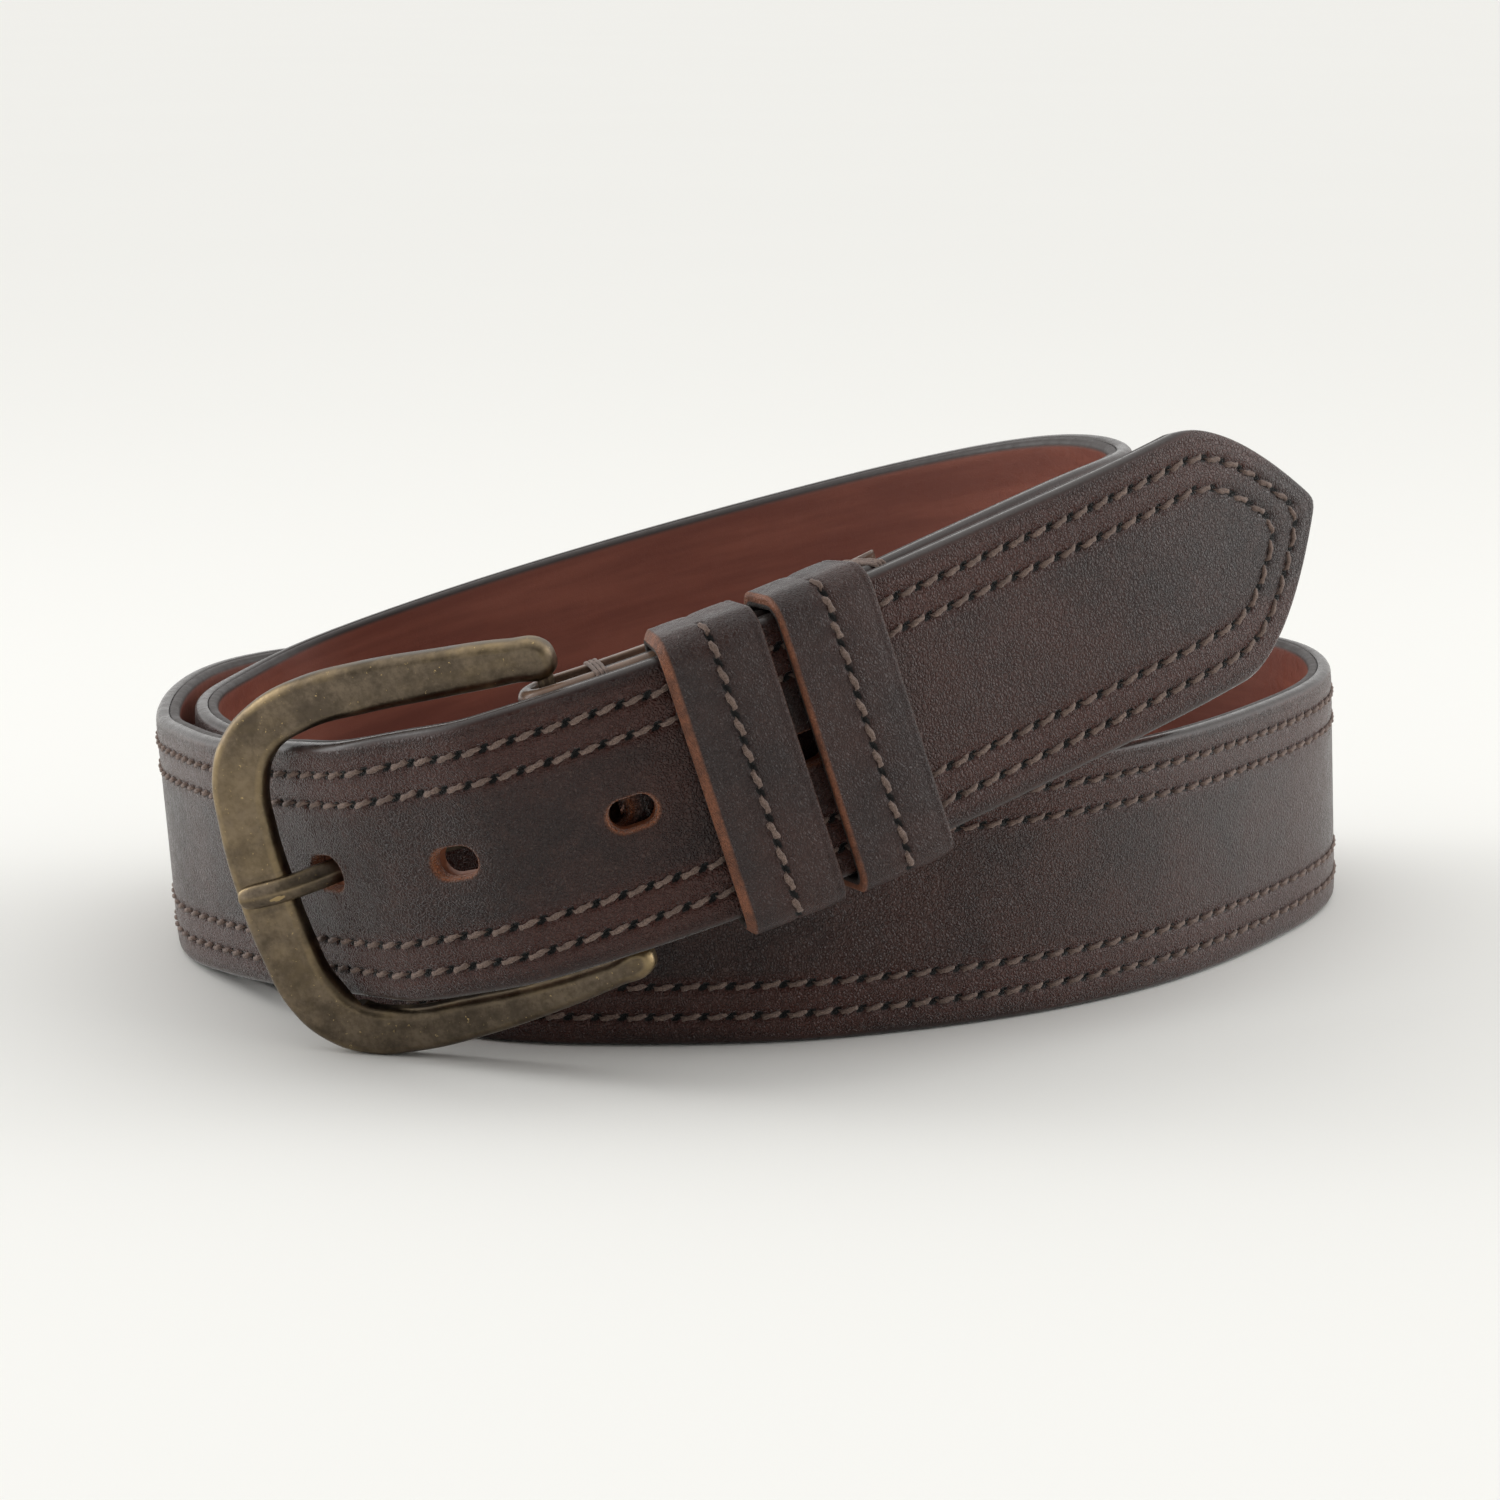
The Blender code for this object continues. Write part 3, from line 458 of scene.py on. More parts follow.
class Ply:
    """One ply of the strap as a fine grid, with round-lipped holes and a pointed end."""

    def __init__(self, lines, start, step, rows=()):
        self.lines = lines
        self.rows = rows
        self.points, self.faces, self.count = [], [], 0
        stations = np.arange(POINT_START, start, -step)[::-1]
        self.stations = np.concatenate([[start], stations[stations > start + step / 3]])
        ring = [(HALF - inset, out) for inset, out in lines]
        ring += [(-across, out) for across, out in reversed(ring[1:-1])]
        self.ring = np.array(ring)

    def add(self, place, across, out, cut=0.0, dark=0.0):
        """New vertices; returns their indices."""
        values = np.broadcast_arrays(place, across, out, cut, dark)
        block = np.stack([np.ravel(value) for value in values], axis=1).astype(float)
        self.points.append(block)
        self.count += len(block)
        return np.arange(self.count - len(block), self.count).reshape(values[0].shape)

    def build(self, holes, rows_start):
        """The grid's vertices, faces, holes and point."""
        places = self.stations[:, None]
        across, out = self.ring[None, :, 0], self.ring[None, :, 1]
        # dark marks the stitch pits: they are pressed in, and the materials colour them near black
        # as painted shade.
        dark = np.zeros((len(self.stations), len(self.ring)))
        pits = np.arange(len(self.stations))[::-1] % PER_PITCH == 0
        pits &= self.stations > rows_start
        for inset in self.rows:
            on_row = np.isclose(np.abs(self.ring[:, 0]), HALF - inset) & (self.ring[:, 1] > 0)
            dark[np.ix_(pits, on_row)] = 1.0
        grid = self.add(places, across, out - PIT_DEPTH * dark, 0.0, dark)
        keep = np.ones(grid.shape, bool)
        keep[-1] = False
        for place, long, wide in holes:
            self.hole(grid, keep, place, long, wide)
        following = np.roll(grid, -1, axis=1)
        quads = np.stack([grid[:-1], grid[1:], following[1:], following[:-1]], axis=-1)
        self.faces += quads[keep[:-1]].tolist()
        self.faces.append(grid[0].tolist())
        self.point(grid[-1])

    def hole_columns(self, level):
        """The section's places at a level that a hole takes up, from the upper edge down."""
        near = (np.abs(self.ring[:, 0]) <= HOLE_REACH) & (self.ring[:, 1] == level)
        columns = np.flatnonzero(near)
        return columns[np.argsort(-self.ring[columns, 0])]

    def hole(self, grid, keep, place, long, wide):
        """Opens the grid round a hole, and joins its face to its back through the wall."""
        reach = long + HOLE_MARGIN
        first = int(np.searchsorted(self.stations, place - reach))
        last = int(np.searchsorted(self.stations, place + reach)) - 1
        face_level, back_level = self.ring[0, 1], self.ring[len(self.lines) - 1, 1]
        face, back = self.hole_columns(face_level), self.hole_columns(back_level)
        for columns in (face, back):
            for column in columns:
                if (column + 1) % len(self.ring) in columns:
                    keep[first:last, column] = False
        end = len(face) - 1
        around = [(j, 0) for j in range(first, last)]
        around += [(last, k) for k in range(end)]
        around += [(j, end) for j in range(last, first, -1)]
        around += [(first, k) for k in range(end, 0, -1)]
        rows, order = np.array(around).T
        middle = (self.stations[first] + self.stations[last]) / 2
        offsets = np.stack([self.stations[rows] - middle, self.ring[face[order], 0]], axis=1)
        oval = slot_outline(offsets, self.stations[last] - middle, long, wide)
        rectangle = offsets + (middle - place, 0.0)
        rings = [grid[rows, face[order]]]
        for grow, share, down, cut in HOLE_RINGS:
            spots = share * oval * grow + (1 - share) * rectangle
            level = face_level - down * (face_level - back_level)
            rings.append(self.add(place + spots[:, 0], spots[:, 1], level, cut))
        rings.append(grid[rows, back[order]])
        for upper, lower in zip(rings, rings[1:]):
            self.faces += ring_quads(upper, lower)

    def point(self, last):
        """The pointed end: each line runs round it from the upper edge to the lower."""
        rows = []
        size = len(self.ring)
        for number, (inset, out) in enumerate(self.lines):
            start, end = last[number], last[(size - number) % size]
            if inset >= HALF:
                middle = self.add(np.array([POINT_START + MIDDLE_AHEAD]), 0.0, out)
                rows.append([start, middle[0], end])
                continue
            stitched = inset in self.rows and out > 0
            path = tip_outline(inset, PER_PITCH if stitched else 1)[1:-1]
            dark = np.zeros(len(path))
            if stitched:
                dark[PER_PITCH - 1 :: PER_PITCH] = 1.0
            inner = self.add(path[:, 0], path[:, 1], out - PIT_DEPTH * dark, 0.0, dark)
            rows.append([start, *inner.tolist(), end])
        for first, second in zip(rows, rows[1:]):
            self.faces += zipped(first, second)

    def make(self, name, look):
        values = np.concatenate(self.points)
        place, across, out, cut, dark = values.T
        thick = np.interp(place, (0.0, FLAP_SKIVE), (FLAP_TIP_THICK / OUTER_THICK, 1.0))
        level = OUTER_THICK / 2 - (OUTER_THICK / 2 - out) * thick
        at = np.stack([place, across, out], axis=1)
        cut_and_pit_shade = np.stack([cut, dark, np.zeros_like(cut)], axis=1)
        return finish_mesh(name, on_strap(place, across, level), self.faces, look, at, cut_and_pit_shade)


def strap_holes():
    """Each hole's place, half length and half width. The prong is in the first."""
    found = []
    for number in range(HOLE_COUNT):
        halves = PRONG_HOLE if number == 0 else OTHER_HOLE
        found.append((BAR_ON_POINT + FIRST_HOLE + number * HOLE_PITCH, *halves))
    return found


def outer_strap(look):
    ply = Ply(OUTER_LINES, 0.0, STEP, (OUTER_ROW, INNER_ROW))
    fold_middle = FOLD_END - math.pi * FOLD_RADIUS / 2
    slot = (fold_middle, SLOT_STRAIGHT + math.pi * FOLD_RADIUS / 2, SLOT_HALF_WIDE)
    ply.build([slot, *strap_holes()], FOLD_END + ROWS_START_AT)
    return ply.make("belt_outer_leather", look)


def lining_strap(look):
    ply = Ply(LINING_LINES, FOLD_END + LINING_START_AT, STEP)
    ply.build(strap_holes(), ROUTE.length)
    return ply.make("belt_lining", look)


# ---- thread

SIDES = 8
ROW_LEVEL = 1.0
ROW_SLANT = 0.42
KEEPER_SLANT = 0.4
THREAD_HALF_WIDE = 0.38
THREAD_HALF_THICK = 0.31
THREAD_LOBES = 0.24
THREAD_TWIST = 7.5
# How much the stitches differ in lean, place and level.
UNEVEN_LEAN = 0.15
UNEVEN_PLACE = 0.05
UNEVEN_LEVEL = 0.02
# (Share of a stitch's length, its height above the leather).
RISE = ((0.07, -1.0), (0.12, -0.6), (0.18, -0.2), (0.25, 0.0), (0.35, 0.09), (0.45, 0.12))
RISE += ((0.55, 0.12), (0.65, 0.09), (0.75, 0.0), (0.82, -0.2), (0.88, -0.6), (0.93, -1.0))


def stitches(name, starts, ends, surface, look, slant):
    """A row of stitches, each a twisted two-ply thread that rises out of one pit and
    goes down the next. surface turns (along, across, out) into layout points."""
    share, rise = (np.array(column)[None, :, None] for column in zip(*RISE))
    turn = np.linspace(0, TAU, SIDES, endpoint=False)[None, None, :]
    step = ends - starts
    across = unit(np.stack([-step[:, 1], step[:, 0]], axis=1))
    count = len(starts)
    twist, lean, shift = RNG.uniform(-1.0, 1.0, (count, 3)).T[:, :, None, None]
    lobe = 1 + THREAD_LOBES * np.cos(2 * (turn - THREAD_TWIST * share - twist))
    side = np.cos(turn) * THREAD_HALF_WIDE * lobe
    leaning = slant * (1 + UNEVEN_LEAN * lean) * (2 * share - 1)
    sideways = side + leaning + UNEVEN_PLACE * shift
    place, width = (
        starts[:, i, None, None] + step[:, i, None, None] * share
        + across[:, i, None, None] * sideways
        for i in (0, 1)
    )
    level = rise + np.sin(turn) * THREAD_HALF_THICK * lobe + UNEVEN_LEVEL * lean
    points = surface(place, width, level).reshape(-1, 3)
    index = np.arange(count * len(RISE) * SIDES).reshape(count, len(RISE), SIDES)
    faces = ring_quads(index[:, :-1], index[:, 1:])
    faces += index[:, 0].tolist()
    faces += index[:, -1, ::-1].tolist()
    return finish_mesh(name, points, faces, look)


# The fold's seams: how far the thread lies off the leather, the places of its two turns,
# and its knot, as strands over the upper edge with (height, share of the reach) corners.
SEAM_LIFT = 0.42
SEAM_SHIFTS = (-0.32, 0.32)
SEAM_RADIUS = 0.33
SEAM_SPACING = 0.9
SEAM_TWIST = 0.7
SEAM_LOBES = 0.14
KNOT_RADIUS = 0.32
KNOT_SPACING = 0.6
KNOT_LEAN = 0.35
KNOT_SHIFTS = (-2.6, -2.0, -1.4)
KNOT_OUTLINE = ((16.5, 1.0), (18.9, 1.03), (19.2, 0.0), (18.9, -1.03), (16.5, -1.0))
PATH_SMOOTHINGS = 2


def row_pits(inset):
    """(place, across) of every pit of a row: along the top, round the point and back."""
    start = FOLD_END + ROWS_START_AT
    straight = np.arange(POINT_START, start, -PITCH)[::-1]
    tip = tip_outline(inset, PER_PITCH)[::PER_PITCH]
    upper = np.stack([straight[:-1], np.full(len(straight) - 1, HALF - inset)], axis=1)
    lower = upper[::-1] * (1, -1)
    return np.concatenate([upper, tip, lower])


def stitch_row(name, inset, look):
    pits = row_pits(inset)

    def surface(place, across, out):
        return on_strap(place, across, ROW_LEVEL + out)

    return stitches(name, pits[:-1], pits[1:], surface, look, ROW_SLANT)


def tube(path, radius, closed=False):
    """The points and faces of a twisted round thread along a layout path."""
    count = len(path)
    ahead = np.roll(path, -1, 0) - np.roll(path, 1, 0)
    if not closed:
        ahead[0], ahead[-1] = path[1] - path[0], path[-1] - path[-2]
    ahead = unit(ahead)
    side = np.cross(ahead[0], (0.3, 0.5, 0.81))
    rings = []
    for i in range(count):
        side = side - side.dot(ahead[i]) * ahead[i]
        side = side / np.linalg.norm(side)
        up = np.cross(ahead[i], side)
        size = radius if closed or 0 < i < count - 1 else radius * 0.5
        for turn in np.linspace(0, TAU, SIDES, endpoint=False):
            reach = size * (1 + SEAM_LOBES * math.cos(2 * (turn - SEAM_TWIST * i)))
            rings.append(path[i] + reach * (math.cos(turn) * side + math.sin(turn) * up))
    index = np.arange(count * SIDES).reshape(count, SIDES)
    if closed:
        return np.array(rings), ring_quads(index, np.roll(index, -1, 0))
    ends = [index[0].tolist(), index[-1, ::-1].tolist()]
    return np.array(rings), ring_quads(index[:-1], index[1:]) + ends


def merged(name, pieces, look):
    """Several (points, faces) as one object."""
    points, faces, count = [], [], 0
    for some, many in pieces:
        points.append(some)
        faces += [[index + count for index in face] for face in many]
        count += len(some)
    return finish_mesh(name, np.concatenate(points), faces, look)


def smooth_path(corners, spacing, closed=True):
    """A path through corners, rounded off and evenly spaced."""
    corners = np.asarray(corners, float)
    if closed:
        corners = np.concatenate([corners, corners[:1]])
    runs = run_lengths(corners)
    count = max(4, round(runs[-1] / spacing))
    path = resampled(corners, runs, np.linspace(0, runs[-1], count, endpoint=not closed))
    for _ in range(PATH_SMOOTHINGS):
        if closed:
            path = 0.5 * path + 0.25 * (np.roll(path, 1, 0) + np.roll(path, -1, 0))
        else:
            path[1:-1] = 0.5 * path[1:-1] + 0.25 * (path[2:] + path[:-2])
    return path


def fold_seam(name, length, look):
    """A seam of the fold: two turns of thread through both thicknesses, with a knot."""
    turn = turn_at(length)
    along = arc_direction(turn)
    reach = FOLD_RADIUS + OUTER_THICK / 2 + SEAM_LIFT
    pieces = []
    for shift in SEAM_SHIFTS:
        corners = []
        for height, out in ((-1, -1), (1, -1), (1, 1), (-1, 1)):
            corners.append(arc_point(out * reach, turn, height * SEAM_HALF) + shift * along)
        pieces.append(tube(smooth_path(corners, SEAM_SPACING), SEAM_RADIUS, closed=True))
    for shift in KNOT_SHIFTS:
        corners = []
        for height, out in KNOT_OUTLINE:
            lean = KNOT_LEAN * out + shift
            corners.append(arc_point(out * reach, turn, height) + lean * along)
        path = smooth_path(corners, KNOT_SPACING, closed=False)
        pieces.append(tube(path, KNOT_RADIUS))
    return merged(name, pieces, look)


# ---- keepers


def rounded_path(half, back, front, radius, spacing):
    """(height, out, normal height, normal out) evenly round a rounded rectangle."""
    path = []
    for up, face, start in ((1, front, 0), (-1, front, 90), (-1, back, 180), (1, back, 270)):
        centre_up = up * (half - radius)
        centre_out = face - radius if face == front else face + radius
        for angle in np.linspace(start, start + 90, 25):
            turn = math.radians(angle)
            normal = (math.cos(turn), math.sin(turn))
            path.append((centre_up + radius * normal[0], centre_out + radius * normal[1], *normal))
    path = np.array(path)
    path = np.concatenate([path, path[:1]])
    runs = run_lengths(path[:, :2])
    count = round(runs[-1] / spacing / PER_PITCH) * PER_PITCH
    even = np.linspace(0, runs[-1], count, endpoint=False)
    return resampled(path, runs, even), runs[-1] / count


def arc_points(outs, turns, heights):
    """Layout points for arrays of offsets, turns round the ring and heights."""
    radius = BAR_RING_RADIUS + outs
    a, b = radius * np.sin(turns), -radius * np.cos(turns)
    points = RING_CENTRE + a[..., None] * RING_X + b[..., None] * RING_Y
    return points + heights[..., None] * RING_Z


def keeper_section(chamfer):
    """A keeper's section: along its width in mm, down from its outer face, and its cut
    share. The left edge has a bare chamfer."""
    wide = KEEPER_WIDE
    face = [(chamfer + 0.02, 0.0, 0.7), (chamfer + 0.25, -0.02, 0.0), (chamfer + 0.9, 0.0, 0.0)]
    face += [(2.9, -0.03, 0.0), (4.2, -0.03, 0.0), (5.4, 0.0, 0.0), (5.9, 0.06, 0.0)]
    face += [(wide / 2, 0.16, 0.0), (wide - 5.9, 0.06, 0.0), (wide - 5.4, 0.0, 0.0)]
    face += [(wide - 4.2, -0.03, 0.0), (wide - 2.9, -0.03, 0.0), (wide - 1.3, 0.0, 0.0)]
    face += [(wide - 0.95, 0.09, 0.0), (wide - 0.65, 0.02, 0.0), (wide - 0.3, 0.08, 0.0)]
    face += [(wide - 0.08, 0.26, 0.4), (wide, 0.5, 0.9), (wide, 1.3, 0.9)]
    back = [(wide - 0.05, 1.9, 1.0), (wide - 0.35, 2.14, 1.0), (wide - 1.2, 2.2, 1.0)]
    back += [(wide * 0.6, 2.2, 1.0), (wide * 0.4, 2.2, 1.0), (1.2, 2.2, 1.0)]
    back += [(0.35, 2.14, 1.0), (0.05, 1.95, 1.0), (0.0, 1.5, 1.0)]
    edge = [(0.0, chamfer * 1.15 + 0.1, 1.0), (0.04, chamfer * 1.15, 1.0)]
    edge += [(chamfer * 0.45, chamfer * 0.55, 1.0), (chamfer * 0.85, chamfer * 0.12, 1.0)]
    return np.array([*face, *back, *edge])


# The section's place of the stitched line in the middle.
MIDDLE_COLUMN = 7


def keeper_frame(start):
    """The keeper's evenly spaced outer path, and a function from (along, width, out)."""
    path, spacing = rounded_path(
        KEEPER_HALF + KEEPER_THICK,
        KEEPER_BACK - KEEPER_THICK,
        KEEPER_FRONT + KEEPER_THICK,
        KEEPER_ROUND + KEEPER_THICK,
        STEP,
    )
    closed = np.concatenate([path, path[:1]])

    def surface(along, width, out):
        index = np.asarray(along) / spacing % len(path)
        height, level, normal_up, normal_out = (
            np.interp(index, np.arange(len(closed)), closed[:, i]) for i in range(4)
        )
        size = np.hypot(normal_up, normal_out)
        heights = height + out * normal_up / size
        outs = level + out * normal_out / size
        turns = turn_at(start + np.asarray(width))
        return arc_points(outs, turns, heights)

    return path, spacing, surface


def front_pits(path):
    """The stitched points of a keeper's path: on its front and over its upper bend."""
    found = []
    for i in range(0, len(path), PER_PITCH):
        height, out = path[i, 0], path[i, 1]
        if out > (KEEPER_ROW_BOTTOM if height <= 0 else KEEPER_ROW_TOP):
            found.append(i)
    return found


def keeper(number, start, look):
    path, spacing, surface = keeper_frame(start)
    section = keeper_section(KEEPER_CHAMFERS[number - 1])
    size = (len(path), len(section))
    along = np.broadcast_to(np.arange(len(path))[:, None] * spacing, size)
    width, level, cut = (np.broadcast_to(column, size) for column in section.T)
    # dark marks the stitch pits, which the material colours near black as painted shade.
    dark = np.zeros(size)
    dark[front_pits(path), MIDDLE_COLUMN] = 1.0
    points = surface(along, width, -level - KEEPER_PIT_DEPTH * dark).reshape(-1, 3)
    at = np.stack([along, width, level], axis=-1)
    cut_and_pit_shade = np.stack([cut, dark, np.zeros(size)], axis=-1)
    index = np.arange(dark.size).reshape(size)
    faces = ring_quads(index, np.roll(index, -1, 0))
    return finish_mesh(f"keeper_{number}_leather", points, faces, look, at, cut_and_pit_shade)


def keeper_seam(number, start, look):
    path, spacing, surface = keeper_frame(start)
    starts = np.array([(i * spacing, KEEPER_WIDE / 2) for i in front_pits(path)])
    ends = starts + (PER_PITCH * spacing, 0.0)

    def sunk(along, width, out):
        return surface(along, width, out - KEEPER_THREAD_SINK)

    name = f"keeper_{number}_thread"
    return stitches(name, starts[:-1], ends[:-1], sunk, look, KEEPER_SLANT)


# ---- buckle

FRAME_ALONG = -math.cos(FRAME_TURN) * RING_X + math.sin(FRAME_TURN) * RING_Y
FRAME_OUT = -math.sin(FRAME_TURN) * RING_X - math.cos(FRAME_TURN) * RING_Y
BAR_CENTRE = arc_point(0.0, BAR_TURN)


def frame_at(along, out, height):
    return BAR_CENTRE + along * FRAME_ALONG + out * FRAME_OUT + height * RING_Z


def frame_outline():
    """The frame's outline from the heel bar's upper end round to its lower end, and back."""
    upper_outer = ((-2.3, 22.4), (-1.2, 24.6), (3.7, 25.8), (14.0, 27.0), (26.0, 28.0))
    upper_outer += ((35.0, 27.9), (42.0, 26.3), (47.5, 23.0), (50.9, 18.3), (52.8, 10.0))
    lower_outer = ((53.4, -9.0), (51.8, -17.8), (48.3, -23.2), (42.6, -26.7), (35.0, -28.0))
    lower_outer += ((24.0, -27.9), (13.0, -26.8), (3.5, -25.3), (-1.3, -24.3), (-2.3, -22.6))
    lower_inner = ((-1.4, -20.6), (4.0, -21.3), (14.0, -22.1), (26.0, -22.0), (35.0, -21.5))
    lower_inner += ((41.2, -19.2), (44.2, -14.8), (45.2, -8.0))
    upper_inner = ((45.1, 8.0), (43.9, 14.4), (41.0, 18.6), (35.0, 20.7), (26.0, 20.9))
    upper_inner += ((14.0, 20.3), (4.0, 19.8), (-1.4, 19.8))
    far_outer, far_inner = (53.6, 0.5), (45.4, 0.0)
    return [*upper_outer, far_outer, *lower_outer, *lower_inner, far_inner, *upper_inner]


def evaluated_mesh(made):
    """The object's mesh with its modifiers, or its curve, worked out."""
    bpy.context.view_layer.update()
    graph = bpy.context.evaluated_depsgraph_get()
    return bpy.data.meshes.new_from_object(made.evaluated_get(graph))


def mesh_object(name, bm):
    mesh = bpy.data.meshes.new(name)
    bm.to_mesh(mesh)
    bm.free()
    made = bpy.data.objects.new(name, mesh)
    bpy.context.scene.collection.objects.link(made)
    return made


def seat_cutter():
    """The rounded box that cuts the prong's seat into the frame's far end."""
    long, deep, wide = SEAT_HALVES
    middle = frame_at(SEAT_AT, FRAME_THICK / 2 + deep - SEAT_DEEP, 0.0)
    axes = (long * FRAME_ALONG, deep * FRAME_OUT, wide * RING_Z)
    bm = bmesh.new()
    bmesh.ops.create_cube(bm, size=2.0)
    for vert in bm.verts:
        vert.co = into_frame(middle + sum(vert.co[i] * axes[i] for i in range(3)))
    bmesh.ops.bevel(
        bm, geom=bm.edges[:], offset=SEAT_ROUND * MM, segments=3, affect="EDGES", profile=0.5
    )
    bmesh.ops.recalc_face_normals(bm, faces=bm.faces)
    return mesh_object("seat_cutter", bm)


def strap_cutter():
    """The room that the strap's edges have behind the frame's far end."""
    half = HALF + RELIEF_GAP
    start = BAR_ON_POINT + FIRST_HOLE - RELIEF_BEFORE
    places = np.linspace(start, start + RELIEF_LENGTH, 29)[:, None]
    across = np.array([[-half, half, half, -half]])
    out = np.array([[RELIEF_BACK, RELIEF_BACK, RELIEF_FRONT, RELIEF_FRONT]])
    points = on_strap(*np.broadcast_arrays(places, across, out)).reshape(-1, 3)
    index = np.arange(len(points)).reshape(-1, 4)
    faces = ring_quads(index[:-1], index[1:]) + [index[0].tolist(), index[-1, ::-1].tolist()]
    return finish_mesh("strap_cutter", points, faces)


def buckle_frame(look):
    data = bpy.data.curves.new("frame_outline", "CURVE")
    data.dimensions = "2D"
    data.fill_mode = "BOTH"
    data.extrude = (FRAME_THICK / 2 - FRAME_ROUND) * MM
    data.bevel_depth = FRAME_ROUND * MM
    data.bevel_resolution = 5
    data.offset = -FRAME_ROUND * MM
    data.resolution_u = 10
    points = frame_outline()
    spline = data.splines.new("BEZIER")
    spline.bezier_points.add(len(points) - 1)
    for knot, (along, height) in zip(spline.bezier_points, points):
        knot.co = (along * MM, height * MM, 0.0)
        knot.handle_left_type = "AUTO"
        knot.handle_right_type = "AUTO"
    spline.use_cyclic_u = True
    guide = bpy.data.objects.new("frame_outline", data)
    bpy.context.scene.collection.objects.link(guide)
    axes = np.stack([FRAME_ALONG, RING_Z, np.cross(FRAME_ALONG, RING_Z)], axis=1)
    place = into_frame(frame_at(0.0, 0.0, FRAME_SHIFT)).tolist()
    guide.matrix_world = Matrix.Translation(place) @ Matrix(axes.tolist()).to_4x4()
    mesh = evaluated_mesh(guide)
    mesh.transform(guide.matrix_world)
    bm = bmesh.new()
    bm.from_mesh(mesh)
    bmesh.ops.remove_doubles(bm, verts=bm.verts, dist=1e-6)
    bmesh.ops.recalc_face_normals(bm, faces=bm.faces)
    bpy.data.objects.remove(guide)
    made = mesh_object("buckle_frame_cast", bm)
    cutters = (seat_cutter(), strap_cutter())
    for cutter in cutters:
        boolean = made.modifiers.new(cutter.name, "BOOLEAN")
        boolean.operation = "DIFFERENCE"
        boolean.object = cutter
    final = evaluated_mesh(made)
    made.modifiers.clear()
    made.data = final
    for cutter in cutters:
        bpy.data.objects.remove(cutter)
    final.materials.clear()
    final.materials.append(look)
    final.shade_smooth()
    final.set_sharp_from_angle(angle=FRAME_SHARP)
    return made


def prong_path():
    """(along, out, thickness, share of the width) from the knuckle's free end to the tip."""
    path = []
    for turn in np.radians(np.linspace(70.0, 270.0, 13)).tolist():
        spot = (KNUCKLE_RADIUS * math.cos(turn), KNUCKLE_RADIUS * math.sin(turn))
        path.append((*spot, KNUCKLE_THICK, 1.0))
    path.append((6.0, -3.1, 2.0, 1.0))
    behind = ((18.0, -3.4), (28.0, -3.5), (33.5, -3.4), (36.5, -2.7), (38.7, -1.6))
    front = ((41.0, -0.1), (43.4, 1.3), (45.4, 2.2), (47.4, 2.5))
    path += [(along, out, PRONG_THICK, 1.0) for along, out in behind + front]
    path += [(50.6, 2.5, 2.1, 1.0), (52.2, 2.45, 1.7, 0.88), (53.0, 2.35, 0.9, 0.5)]
    return path


def prong(look):
    """The prong: curled round the heel bar, gabled in front and rounded at its tip."""
    path = prong_path()
    right = ((0.75, -1.0), (1.0, -0.8), (1.0, -0.1), (0.9, 0.3), (0.45, 0.75), (0.1, 1.0))
    left = [(-side, rise) for side, rise in reversed(right)]
    rings = []
    for i, (along, out, thick, share) in enumerate(path):
        before, after = path[max(i - 1, 0)], path[min(i + 1, len(path) - 1)]
        step = Vector((after[0] - before[0], after[1] - before[1])).normalized()
        for side, rise in (*right, *left):
            lift = rise * thick / 2
            height = side * share * PRONG_WIDE / 2
            rings.append(frame_at(along - lift * step.y, out + lift * step.x, height))
    index = np.arange(len(rings)).reshape(len(path), -1)
    faces = ring_quads(index[:-1], index[1:]) + [index[0].tolist(), index[-1, ::-1].tolist()]
    made = finish_mesh("prong_cast", np.array(rings), faces, look)
    smoothing = made.modifiers.new("smoothing", "SUBSURF")
    smoothing.levels = smoothing.render_levels = 2
    return made


# ---- materials


